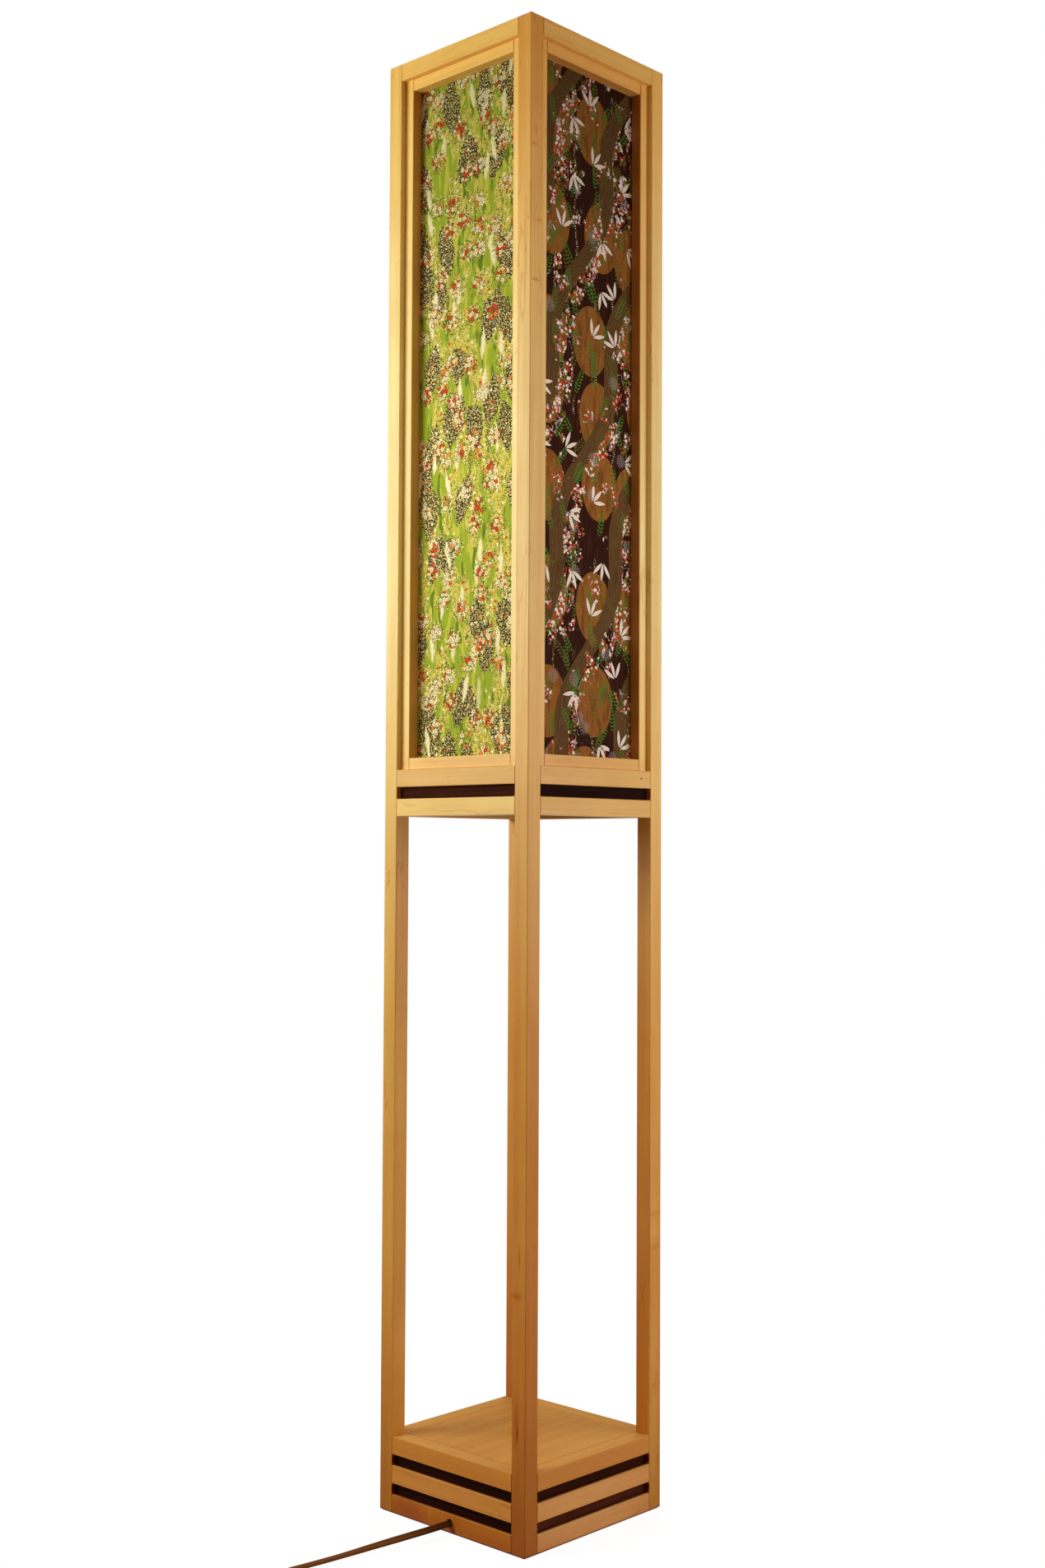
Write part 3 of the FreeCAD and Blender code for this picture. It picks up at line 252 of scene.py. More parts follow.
def coilRoute(sizes=cordSizes):  # stepping in by a pitch each half turn, and out again on the second layer
    points = []
    low = sizes["lowHalfTurns"]
    for step in range(sizes["coilHalfTurns"] * sizes["pointsPerHalfTurn"] + 1):
        halfTurns = step / sizes["pointsPerHalfTurn"]
        inward = min(halfTurns, low, sizes["coilHalfTurns"] - halfTurns)
        squeeze = sizes["coilSqueeze"] * max(0.0, min(halfTurns - low + 1, 1, low + 2 - halfTurns))
        radius = sizes["coilRadius"] - sizes["coilPitch"] * inward - squeeze
        angle = math.radians(sizes["coilStart"] + 180 * halfTurns)
        climb = smoothStep(halfTurns, low, low + 1)
        points.append(Vector((sizes["coilCentre"][0] + radius * sizes["coilSwell"] * math.cos(angle),
                              sizes["coilCentre"][1] + radius * sizes["coilSwell"] * math.sin(angle),
                              sizes["coilLow"] + (sizes["coilHigh"] - sizes["coilLow"]) * climb)))
    return points


secondRoute = [switchExit - switchWay * cordSizes["insideSwitch"], switchExit + switchWay * cordSizes["clearOfSwitch"]]
secondRoute += coilRoute()
secondRoute += [Vector(p) * mm for p in ((94.9, -351.2, 8.6), (88.39, -346.13, 7.3), (81.9, -338.4, 7.3))]  # into the plug
secondLine = routeLine("secondRoute", secondRoute)
secondLength = lineLength(secondLine)


def secondLean(run, sizes=cordSizes):  # the coil lies on the cord's narrow edge, the switch and the plug take it flat
    up = smoothStep(run, sizes["onEdgeFrom"], sizes["onEdgeBy"])
    down = smoothStep(run, secondLength - sizes["flatFrom"], secondLength - sizes["flatBy"])
    return 90 * up - 90 * down


secondCord = flatCord("cord_to_plug", secondLine, secondLean)


# floor and light: a white floor under soft light from the left front, weaker from the right rear
studio = {  # each light: its place, size, power and colour
    "key": ((-0.85, -1.18, 1.22), 0.8, 18.6, "#ffffff"),
    "fill": ((1.35, 0.55, 0.86), 0.9, 14.0, "#ece6ff"),
    "back": ((-0.75, 1.05, 2.1), 0.9, 11.0, "#ffffff"),  # high, so that the foot shows no glare from it
    "top": ((0.1, -0.1, 2.7), 0.8, 4.0, "#ffffff"),
    "aim": (0, 0, 1.05), "worldLight": 0.30, "worldColour": "#ffe9cf",
    "floorWidth": 60, "floorColour": "#f4f3f1", "floorBounce": "#8f8a83",
    "clearFrom": 0.15, "clearBy": 0.55,  # metres from the lamp's middle, where the floor's shadow fades to plain white
    "clearShare": 0.90, "clearGain": 1.056,  # white laid over the floor at the foot, and what makes up for its own grey
}


def areaLight(name, place, size, power, colour):
    bpy.ops.object.light_add(type="AREA", location=place)
    lamp = bpy.context.object
    lamp.name = name
    lamp.data.size = size
    lamp.data.energy = power
    lamp.data.color = linear(colour)[:3]
    lamp.rotation_euler = (Vector(studio["aim"]) - Vector(place)).to_track_quat("-Z", "Y").to_euler()


deselectAll()
for lightName in ("key", "fill", "back", "top"):
    areaLight(lightName + "_light", *studio[lightName])

bpy.ops.mesh.primitive_plane_add(size=studio["floorWidth"], location=(0, 0, 0))
floor = bpy.context.object
floor.name = "floor"


def floorMaterial():
    # matt white sheet: white to the eye, dim to the light that bounces, so the foot isn't lit from below
    material, tree, surface, place = startMaterial("floor_white")
    far = addNode(tree, "VectorMath", "LENGTH", (place,)).outputs["Value"]
    clear = fade(tree, far, studio["clearFrom"], studio["clearBy"], shape="SMOOTHSTEP")
    sheet = addNode(tree, "BsdfDiffuse", None, {"Color": linear(studio["floorColour"])})
    share = addNode(tree, "Math", "MAXIMUM", (clear, studio["clearShare"]))
    gain = fade(tree, share, studio["clearShare"], 1.0, studio["clearGain"], 1.0)
    glow = addNode(tree, "Emission", None, {"Color": (1, 1, 1, 1), "Strength": gain})
    seen = addNode(tree, "MixShader", None, (share, sheet, glow))
    dim = addNode(tree, "BsdfDiffuse", None, {"Color": linear(studio["floorBounce"])})
    path = addNode(tree, "LightPath")
    direct = addNode(tree, "Math", "MAXIMUM", (path.outputs["Is Camera Ray"], path.outputs["Is Glossy Ray"]))
    direct = addNode(tree, "Math", "MAXIMUM", (direct, path.outputs["Is Transmission Ray"]))
    whole = addNode(tree, "MixShader", None, (direct, dim, seen))
    output = next(n for n in tree.nodes if n.bl_idname == "ShaderNodeOutputMaterial")
    tree.links.new(whole.outputs[0], output.inputs["Surface"])
    tree.nodes.remove(surface)
    return material


floor.data.materials.append(floorMaterial())

world = bpy.data.worlds.new("studio_world")
scene.world = world
world.use_nodes = True
worldTree = world.node_tree
worldTree.nodes.clear()
skyPath = addNode(worldTree, "LightPath")
skySeen = addNode(worldTree, "Math", "MAXIMUM", (skyPath.outputs["Is Camera Ray"], skyPath.outputs["Is Transmission Ray"]))
skyWhite = addNode(worldTree, "Background", None, {"Color": (1, 1, 1, 1), "Strength": 1.0})
skySoft = addNode(worldTree, "Background", None, {"Color": linear(studio["worldColour"]), "Strength": studio["worldLight"]})
skyBoth = addNode(worldTree, "MixShader", None, (skySeen, skySoft, skyWhite))
addNode(worldTree, "OutputWorld", None, {"Surface": skyBoth})
scene.view_settings.view_transform = "Standard"
print("studio made")


# maple: straight sticks, planed and oiled under satin lacquer; the ground colour is painted light and shade over the
# height: honey yellow in the middle where the light is strongest, deep amber toward the foot, a little darker at the
# top
mapleLooks = {
    "ground": ((0.0, "#b46813"), (0.094, "#cb802a"), (0.19, "#d6923d"), (0.315, "#d8993f"), (0.44, "#e2ae54"),
               (0.54, "#eec268"), (0.63, "#f0cd7b"), (0.756, "#f2d07e"), (0.88, "#f1c56e"), (0.98, "#e9b355")),
    "lampHeight": 1588 * mm,  # the ground colour's painted light and shade runs over this height
    # painted light: a lighter colour on the foot's upward faces, and a paler, cooler painted sheen on its right-facing
    # faces
    "paintedTopLight": "#cb8f3d", "rightFootSheen": (1.02, 1.07, 1.45), "rightFootSheenEnds": (160 * mm, 280 * mm),
    "channelPowers": (0.75, 1.6, 2.4),  # a darker streak is also redder
    "roughness": 0.40, "gloss": (0.15, 0.25), "glossHeights": (0.08, 0.55),  # the foot has worn duller
    "fleck": 0.26,  # what a fleck takes from the brightness; the next four are what is left of it
    # on the next line the seam is a dark joint; the reveal, the slot value and the foot value are painted shade
    "seam": 0.62, "revealShade": 0.72, "slotShade": 0.03, "footShadow": 0.38,
    "opening": 76.3 * mm, "frameSeam": (75.7 * mm, 76.25 * mm), "railSeam": (88.3 * mm, 88.9 * mm),  # from the lamp's middle
    # the next two: where the painted shade inside the slots begins, and the height of the painted contact shadow at the
    # foot
    "slotShadeEdge": (103.8 * mm, 105.4 * mm), "footShadowEdge": (1.8 * mm, 3.2 * mm),
}
plainX, plainY = ("X", 1.0, 1.0, ()), ("Y", 1.0, 1.0, ())  # rails with nothing of their own but their direction
# each stick: its grain, its own tone (a darker one is redder), its lightness (one value, or red, green and blue), and marks
# as (centre, reach, depth) in millimetres
mapleSticks = {
    # on the front left post, the marks at the slot ends (26.2, 57.2 and 778 mm up) are painted shade in the slots
    "post_front_left": ("Z", 1.105, (1.0, 1.05, 1.04), (
        ((-89, -98, 120), (1, 30, 120), -0.16), ((-89, -103, 26.2), (1, 9, 9), 0.92), ((-89, -103, 57.2), (1, 9, 9), 0.92),
        ((-89, -103, 778), (1, 9, 10), 0.40), ((-89, -98, 680), (1, 30, 190), 0.20))),
    "post_front_right": ("Z", 0.93, (1.04, 1.04, 0.95), (
        ((98, -98, 1588), (40, 40, 230), 0.13), ((101, -108, 1330), (2.6, 6, 60), 0.16), ((96, -108, 130), (4.2, 6, 30), 0.20),
        ((98, -108, 10), (16, 1, 90), 0.10), ((97, -108, 124), (1.6, 6, 10), 0.36), ((99, -108, 300), (2, 6, 18), 0.22),
        ((95.5, -108, 262), (9, 6, 4.5), 0.24), ((108, -102, 1450), (1, 6, 2.2), 0.22), ((108, -95, 1371), (1, 5, 2.2), 0.22),
        ((108, -100, 1308), (1, 8, 2.2), 0.24), ((108, -98, 320), (1, 22, 330), 0.09))),
    "post_rear_left": ("Z", 0.97, 1.02, (((-98, 89, 140), (22, 1, 150), 0.08),)),
    # on the rear right post, the marks at the slot ends are painted shade in the slots, and those on its inner face at
    # 430 and 752 mm up are painted shade under the light box
    "post_rear_right": ("Z", 1.08, 1.04, (
        ((103, 89, 26.2), (9, 1, 9), 0.86), ((103, 89, 57.2), (9, 1, 9), 0.86), ((103, 89, 778), (9, 1, 10), 0.60),
        ((108, 99, 50), (4, 22, 190), -0.24), ((98, 89, 430), (22, 1, 420), 0.22), ((98, 89, 752), (22, 1, 110), 0.20),
        ((108, 98, 320), (1, 14, 4), 0.11), ((108, 98, 301), (1, 14, 9), -0.05), ((108, 98, 284), (1, 14, 5), 0.10))),
    "lower_rail_front": ("X", 1.22, 1.0, ()), "lower_rail_rear": plainX, "lower_rail_right": plainY, "lower_rail_left": plainY,
    "main_rail_front": ("X", 0.93, 1.01, ()), "main_rail_rear": plainX, "main_rail_left": plainY,
    "main_rail_right": ("Y", 1.02, 1.0, (((108, 73, 795), (3, 2.2, 1.2), 0.85),)),
    "top_rail_front": ("X", 1.14, 1.0, ()), "top_rail_rear": plainX, "top_rail_right": ("Y", 1.04, 1.0, ()),
    "top_rail_left": plainY,
    # the first mark on the cord rail, below and beside the hole, is a painted shadow of the cord
    "base_cord_rail": ("X", 0.86, (1.32, 1.38, 1.3), (
        ((5.8, -108, 4.5), (3.8, 4, 8.5), 0.50), ((-64, -108, 11), (34, 6, 20), 0.20), ((-30, -108, 12), (2.6, 6, 12), -0.14))),
    "base_bottom_rails": ("ring", 1.30, (1.30, 1.36, 3.7), (((108, 0, 10.7), (8, 130, 15), -0.16),)),
    "base_middle_rails": ("ring", 1.26, (1.30, 1.36, 2.9), (((108, 0, 41.7), (8, 130, 15), -0.15),)),
    "base_upper_rails": ("ring", 1.10, (1.26, 1.32, 1.8), ()),
    "panel_frame_front": ("frameX", 1.12, 1.03, (((0, -101, 810), (110, 14, 9), 0.08),)),
    "panel_frame_rear": ("frameX", 1.0, 1.0, ()),
    # on the right panel's frame, the marks on the far stile's inner face and under the top rail are painted shade in
    # the recess
    "panel_frame_right": ("frameY", 0.97, 1.03, (
        ((101, 0, 810), (14, 110, 9), 0.11), ((101, 82, 960), (14, 9, 280), -0.21),
        ((96, 76.3, 1170), (24, 1, 1300), 0.28), ((97, 0, 1556.3), (24, 140, 1), 0.20))),
    "panel_frame_left": ("frameY", 1.0, 1.0, ()),
    "base_top_board": ("Y", 1.05, 1.05, ()), "lamp_board": ("X", 0.95, 1.0, ()), "board_cleats": ("ring", 0.92, 1.0, ()),
    "stop_cleats": ("X", 0.95, 1.0, ()), "wireway_strip": ("Z", 0.96, 1.0, ()),
}


def mapleMaterial(name, grain, tone, light, marks, seed, looks=mapleLooks):
    # planed maple: faint straight grain 2 to 5 mm wide, soft cloudy figure, short thin dark flecks, dark hairline at each joint
    material, tree, surface, place = startMaterial(name, {"IOR": 1.5})
    light = light if isinstance(light, tuple) else (light,) * 3
    parts = addNode(tree, "SeparateXYZ", None, (place,)).outputs
    fromMiddle = [addNode(tree, "Math", "ABSOLUTE", (parts[number],)) for number in (0, 1)]
    alongX = addNode(tree, "CombineXYZ", None, (parts[1], parts[2], parts[0]))
    alongY = addNode(tree, "CombineXYZ", None, (parts[0], parts[2], parts[1]))
    if grain in ("X", "Y", "Z"):
        wood = {"X": alongX, "Y": alongY, "Z": place}[grain]
    elif grain == "ring":  # four rails round the lamp: front and rear along X, right and left along Y
        front = addNode(tree, "Math", "GREATER_THAN", (fromMiddle[1], fromMiddle[0]))
        wood = addNode(tree, "Mix", {"data_type": "VECTOR"}, {0: front, "A": alongY, "B": alongX})
    else:  # a panel's frame: upright sticks, with the two level ones between them
        side = "XY".index(grain[-1])
        level = addNode(tree, "Math", "LESS_THAN", (fromMiddle[side], looks["opening"]))
        wood = addNode(tree, "Mix", {"data_type": "VECTOR"}, {0: level, "A": place, "B": (alongX, alongY)[side]})

    def figure(vector, scales, shift, detail, rough=0.5):  # noise stretched along the grain, its scales per metre
        spread = addNode(tree, "Mapping", None, {"Vector": vector, "Scale": scales})
        return addNode(tree, "TexNoise", {"noise_dimensions": "4D"}, {
            "Vector": spread, "W": seed + shift, "Scale": 1.0, "Detail": detail, "Roughness": rough})

    wander = figure(wood, (16, 16, 3.0), 0, 1.0).outputs["Color"]  # the grain strays by up to 10 mm in 300
    wander = addNode(tree, "VectorMath", "SCALE", {0: wander, "Scale": 10 * mm})
    bent = addNode(tree, "VectorMath", "ADD", (wood, wander))
    streaks = figure(bent, (330, 330, 5), 3.1, 4.0, 0.6)  # 3 mm wide, 200 mm long
    bands = figure(bent, (85, 85, 1.8), 8.7, 2.0)  # 12 mm wide
    clouds = figure(bent, (34, 34, 16), 21.9, 2.0)  # 30 mm wide, 60 mm long
    flecks = figure(bent, (800, 800, 120), 15.3, 1.0)  # 1.2 mm wide, 8 mm long
    lines = figure(wood, (60, 60, 9), 33.3, 2.0)  # a hair line wanders where this noise is at its middle
    line = addNode(tree, "Math", "ABSOLUTE", (addNode(tree, "Math", "SUBTRACT", (lines, 0.5)),))
    rare = fade(tree, figure(wood, (12, 12, 7), 40.2, 1.0), 0.55, 0.62, 0.0, 0.20)
    line = addNode(tree, "Math", "MULTIPLY", (fade(tree, line, 0.0, 0.012, 1.0, 0.0), rare))

    # painted light and shade: the ground colour follows the height, as set in the ground ramp
    height = addNode(tree, "Math", "DIVIDE", (parts[2], looks["lampHeight"]))
    ramp = addNode(tree, "ValToRGB", None, {"Fac": height})
    fillRamp(ramp.color_ramp, looks["ground"])
    ground = ramp.outputs["Color"]
    facing = addNode(tree, "SeparateXYZ", None, (addNode(tree, "NewGeometry").outputs["Normal"],)).outputs
    if name.startswith("maple_base"):  # the upward faces of the foot are painted lighter: painted light from above
        topLightShare = fade(tree, facing[2], 0.4, 0.9, 0.0, 1.0)
        litTop = tuple(c / part for c, part in zip(linear(looks["paintedTopLight"]), light + (1.0,)))
        ground = addNode(tree, "Mix", {"data_type": "RGBA"}, {0: topLightShare, "A": ground, "B": litTop})

    bright = [fade(tree, streaks, 0.32, 0.68, 0.955 * tone, 1.03 * tone), fade(tree, bands, 0.3, 0.7, 0.92, 1.06),
              fade(tree, clouds, 0.3, 0.7, 0.96, 1.04), fade(tree, flecks, 0.70, 0.80, 1.0, 1.0 - looks["fleck"]),
              addNode(tree, "Math", "SUBTRACT", (1.0, line))]
    if grain.startswith("frame"):  # the level sticks end at the uprights, and the narrow faces beside the paper are darker: painted shade in the recess
        ends = fade(tree, fromMiddle[side], *looks["frameSeam"], 1.0, looks["seam"])
        bright.append(addNode(tree, "Math", "MAXIMUM", (ends, addNode(tree, "Math", "SUBTRACT", (1.0, level)))))
        aside = addNode(tree, "Math", "ABSOLUTE", (facing[side],))
        bright.append(fade(tree, aside, 0.3, 0.8, 1.0, looks["revealShade"]))
    elif grain != "Z" and name != "maple_base_top_board":
        end = addNode(tree, "Math", "ABSOLUTE", (addNode(tree, "SeparateXYZ", None, (wood,)).outputs[2],))
        bright.append(fade(tree, end, *looks["railSeam"], 1.0, looks["seam"]))
    if name in ("maple_base_bottom_rails", "maple_base_middle_rails", "maple_base_cord_rail"):
        outward = addNode(tree, "Math", "MAXIMUM", tuple(fromMiddle))  # painted shade on the rails' backs inside the slots
        bright.append(fade(tree, outward, *looks["slotShadeEdge"], looks["slotShade"], 1.0))
    if name.startswith(("maple_post", "maple_base_bottom", "maple_base_cord")):  # painted contact shadow along the lowest edge
        bright.append(fade(tree, parts[2], *looks["footShadowEdge"], looks["footShadow"], 1.0))
    for centre, reach, depth in marks:
        bright.append(fade(tree, spotDistance(tree, place, centre, reach), 0.3, 1.15, 1.0 - depth, 1.0, "SMOOTHSTEP"))
    total = bright[0]
    for other in bright[1:]:
        total = addNode(tree, "Math", "MULTIPLY", (total, other))
    powers = tuple(addNode(tree, "Math", "POWER", (total, power)) for power in looks["channelPowers"])
    tint = addNode(tree, "VectorMath", "MULTIPLY", (addNode(tree, "CombineXYZ", None, powers), light))
    colour = addNode(tree, "VectorMath", "MULTIPLY", (ground, tint))
    if name.startswith(("maple_post", "maple_base")):  # the foot's right-facing faces are painted paler and cooler: a painted sheen
        low = fade(tree, parts[2], *looks["rightFootSheenEnds"], 1.0, 0.0)
        sheenShare = addNode(tree, "Math", "MULTIPLY", (fade(tree, facing[0], 0.4, 0.9, 0.0, 1.0), low))
        sheenTint = addNode(tree, "Mix", {"data_type": "VECTOR"}, {0: sheenShare, "A": (1, 1, 1), "B": looks["rightFootSheen"]})
        colour = addNode(tree, "VectorMath", "MULTIPLY", (colour, sheenTint))
    tree.links.new(colour.outputs[0], surface.inputs["Base Color"])
    stir(tree, surface, streaks, looks["roughness"] + 0.07, looks["roughness"] - 0.03)
    gloss = fade(tree, height, *looks["glossHeights"], *looks["gloss"])
    tree.links.new(gloss.outputs[0], surface.inputs["Specular IOR Level"])
    emboss(tree, surface, streaks, 0.2, 0.15)
    return material


for number, (nodeName, stick) in enumerate(mapleSticks.items()):
    dress(nodeName, mapleMaterial("maple_" + nodeName, *stick, 1.7 * number + 0.4))  # every stick has its own grain
print("maple made")


# spacers in the slots and the floor board: wood stained nearly black
stainLooks = {
    "spacers": "#2a1006", "floorBoard": "#3a2014",
    # painted light and shade in the slots: centre and reach in millimetres, and how much lighter
    "thin": (((100, 0, 26), (24, 160, 12), 3.6), ((100, 0, 57), (24, 160, 12), 1.6),
             ((0, -100, 778), (140, 12, 16), 1.9), ((100, 0, 778), (12, 140, 16), 0.65)),
}


def stainedMaterial(name, grain, colour, thin=()):
    # beech with a dark red-brown spirit stain: nearly black, a trace of straight grain, no gloss; spots of painted
    # light and shade on some sticks
    material, tree, surface, place = startMaterial(name, {"Roughness": 0.75, "Specular IOR Level": 0.04})
    scales = tuple(12 if letter in grain else 420 for letter in "XYZ")
    spread = addNode(tree, "Mapping", None, {"Vector": place, "Scale": scales})
    fine = addNode(tree, "TexNoise", None, {"Vector": spread, "Scale": 1.0, "Detail": 3.0})  # 2.4 mm wide, 80 mm long
    # spots of painted light and shade
    spots = [fade(tree, spotDistance(tree, place, centre, reach), 0.75, 1.0, gain, 1.0) for centre, reach, gain in thin]
    mottle(tree, surface, fine, colour, (0.7, 1.35), over=spots)
    return material


dress("slot_spacers", stainedMaterial("stained_spacers", "XY", stainLooks["spacers"], stainLooks["thin"]))
dress("base_floor_board", stainedMaterial("stained_floor_board", "X", stainLooks["floorBoard"]))
print("stained wood made")


# metal, glass, felt and plastic
hardware = {
    "brass": "#c99f4f", "zinc": "#b7babd", "iron": "#34322f", "felt": "#33241c", "bakelite": "#1b1614",
    "brownPlastic": "#4b2f1b", "brownCord": "#784617", "glass": "#f3efe6",
    "brassRoughness": 0.30, "zincRoughness": 0.34, "aluminiumRoughness": 0.40, "bakeliteRoughness": 0.36,
    "plasticRoughness": 0.42, "holeShadeReach": 70 * mm,  # painted shade on the cord, from the hole in the base
}


def brassMaterial(name):
    # turned brass, lacquered: yellow metal with fine rings from the lathe and faint handling marks
    material, tree, surface, place = startMaterial(name, {"Metallic": 1.0})
    roughness = hardware["brassRoughness"]
    spread = addNode(tree, "Mapping", None, {"Vector": place, "Scale": (60, 60, 2600)})  # rings 0.4 mm apart
    rings = addNode(tree, "TexNoise", None, {"Vector": spread, "Scale": 1.0, "Detail": 2.0})
    spots = addNode(tree, "TexNoise", None, {"Vector": place, "Scale": 240.0, "Detail": 3.0})  # marks of 4 mm
    mottle(tree, surface, spots, hardware["brass"], (0.86, 1.05))
    stir(tree, surface, rings, roughness - 0.05, roughness + 0.08)
    emboss(tree, surface, rings, 0.15, 0.1)
    return material


def platedMaterial(name, roughness):
    # bright zinc plate on steel: cool grey with a slight cloudy crystal pattern; aluminium looks the same, a little duller
    material, tree, surface, place = startMaterial(name, {"Metallic": 1.0})
    crystals = addNode(tree, "TexVoronoi", None, {"Vector": place, "Scale": 420.0})  # 2.4 mm wide
    mottle(tree, surface, crystals, hardware["zinc"], (0.9, 1.04), (0.0, 1.0))
    stir(tree, surface, crystals, roughness - 0.06, roughness + 0.08, (0.0, 1.0))
    return material


def ironMaterial(name):
    # cast iron plate, black oxide: dark grey, rough as fine sand
    material, tree, surface, place = startMaterial(name, {"Metallic": 0.6, "Roughness": 0.6})
    sand = addNode(tree, "TexNoise", None, {"Vector": place, "Scale": 900.0, "Detail": 3.0})  # 1 mm grit
    mottle(tree, surface, sand, hardware["iron"], (0.75, 1.25))
    emboss(tree, surface, sand, 0.5, 0.4)
    return material


def feltMaterial(name):
    # pressed wool felt, dark brown: no shine, short tangled fibres
    material, tree, surface, place = startMaterial(name, {"Roughness": 0.95, "Sheen Weight": 0.2})
    tangle = addNode(tree, "TexNoise", None, {
        "Vector": place, "Scale": 1400.0, "Detail": 4.0, "Roughness": 0.7, "Distortion": 0.8})  # 0.7 mm
    mottle(tree, surface, tangle, hardware["felt"], (0.6, 1.4))
    emboss(tree, surface, tangle, 0.6, 0.3)
    return material


def plasticMaterial(name, colour, roughness, grit):
    # moulded plastic: even colour, a faint spark-eroded texture, soft highlights
    material, tree, surface, place = startMaterial(name)
    skin = addNode(tree, "TexNoise", None, {"Vector": place, "Scale": grit, "Detail": 2.0})
    mottle(tree, surface, skin, colour, (0.9, 1.1))
    stir(tree, surface, skin, roughness - 0.05, roughness + 0.06)
    emboss(tree, surface, skin, 0.15, 0.1)
    return material


def cordMaterial(name):
    # soft brown vinyl: even red-brown, dull shine, faint drawn texture, painted shade where it comes out of the base
    material, tree, surface, place = startMaterial(name, {"Roughness": 0.48, "Specular IOR Level": 0.06})
    skin = addNode(tree, "TexNoise", None, {"Vector": place, "Scale": 700.0, "Detail": 2.0})  # 1.4 mm
    away = addNode(tree, "VectorMath", "DISTANCE", (place, cordSizes["exit"])).outputs["Value"]
    holeShade = fade(tree, away, 0.0, hardware["holeShadeReach"], 0.55, 1.0)
    mottle(tree, surface, skin, hardware["brownCord"], (0.9, 1.1), over=(holeShade,))
    emboss(tree, surface, skin, 0.15, 0.1)
    return material


def frostedMaterial(name):
    # acid-frosted bulb glass: milky white, a soft broad highlight
    material, tree, surface, place = startMaterial(name, {
        "Roughness": 0.42, "IOR": 1.47, "Subsurface Weight": 0.25, "Subsurface Radius": (10 * mm, 10 * mm, 10 * mm)})
    frost = addNode(tree, "TexNoise", None, {"Vector": place, "Scale": 2200.0, "Detail": 2.0})  # 0.5 mm
    mottle(tree, surface, frost, hardware["glass"], (0.94, 1.0))
    return material


for nodeName in ("board_screws", "clamp_screws", "holder_cap", "holder_shell", "holder_contact", "pipe_nuts", "plug_blades"):
    dress(nodeName, brassMaterial("brass_" + nodeName))
for nodeName in ("lamp_pipe", "panel_magnets", "strike_discs", "switch_screw"):
    dress(nodeName, platedMaterial("zinc_" + nodeName, hardware["zincRoughness"]))
dress("bulb_cap", platedMaterial("aluminium_bulb_cap", hardware["aluminiumRoughness"]))
dress("ballast_plate", ironMaterial("black_iron"))
dress("base_felt", feltMaterial("brown_felt"))
for nodeName in ("cord_clamp", "holder_insert", "wire_connectors"):
    dress(nodeName, plasticMaterial("bakelite_" + nodeName, hardware["bakelite"], hardware["bakeliteRoughness"], 1500.0))
for nodeName in ("switch_base", "switch_cover", "switch_wheel", "plug_body"):
    dress(nodeName, plasticMaterial("brown_plastic_" + nodeName, hardware["brownPlastic"], hardware["plasticRoughness"], 1800.0))
dress("bulb_glass", frostedMaterial("frosted_glass"))
cordPlastic = cordMaterial("brown_cord_pvc")
dress("inner_lead", cordPlastic)
for piece in (firstCord, secondCord):
    piece.data.materials.append(cordPlastic)
print("hardware made")


# printed papers: screen-printed mulberry paper with soft fibres, all inks matt
greenPrint = {
    "grass": "#a2b530", "deep": "#688720", "young": "#cfcc49", "haze": "#ddd05e", "olive": "#36320f", "bead": "#f0dc80",
    "stone": "#a99964", "bark": "#4a3812", "cream": "#fff5b8", "red": "#d4461c", "orange": "#f09c40", "yellow": "#f0d658",
    "gold": "#bd9334",
}
darkPrint = {
    "night": "#301607", "ember": "#44230f", "stream": "#5c4220", "ripple": "#765628", "ochre": "#955f23", "ochreDeep": "#7b4b1d",
    "white": "#fff2d2", "red": "#c63c18", "leaf": "#4f7c27", "moss": "#5f5b1b", "lilac": "#bba99a", "gold": "#a87c2c",
}
paperLooks = {
    "back": "#e9dfc6", "roughness": 0.62, "specular": 0.04, "fibre": 0.6,  # fibre in millimetres
    "fixedFace": 88.75 * mm, "rearFace": 88.95 * mm, "faceBlur": 0.02 * mm,  # the print lies beyond, from the lamp's middle
    "lowShade": (880, 1080, 0.96, 1.06), "topShade": (1160, 1540, 1.0, 0.60),  # heights, brightness there: painted light in the middle, with painted shade below it and toward the top
}


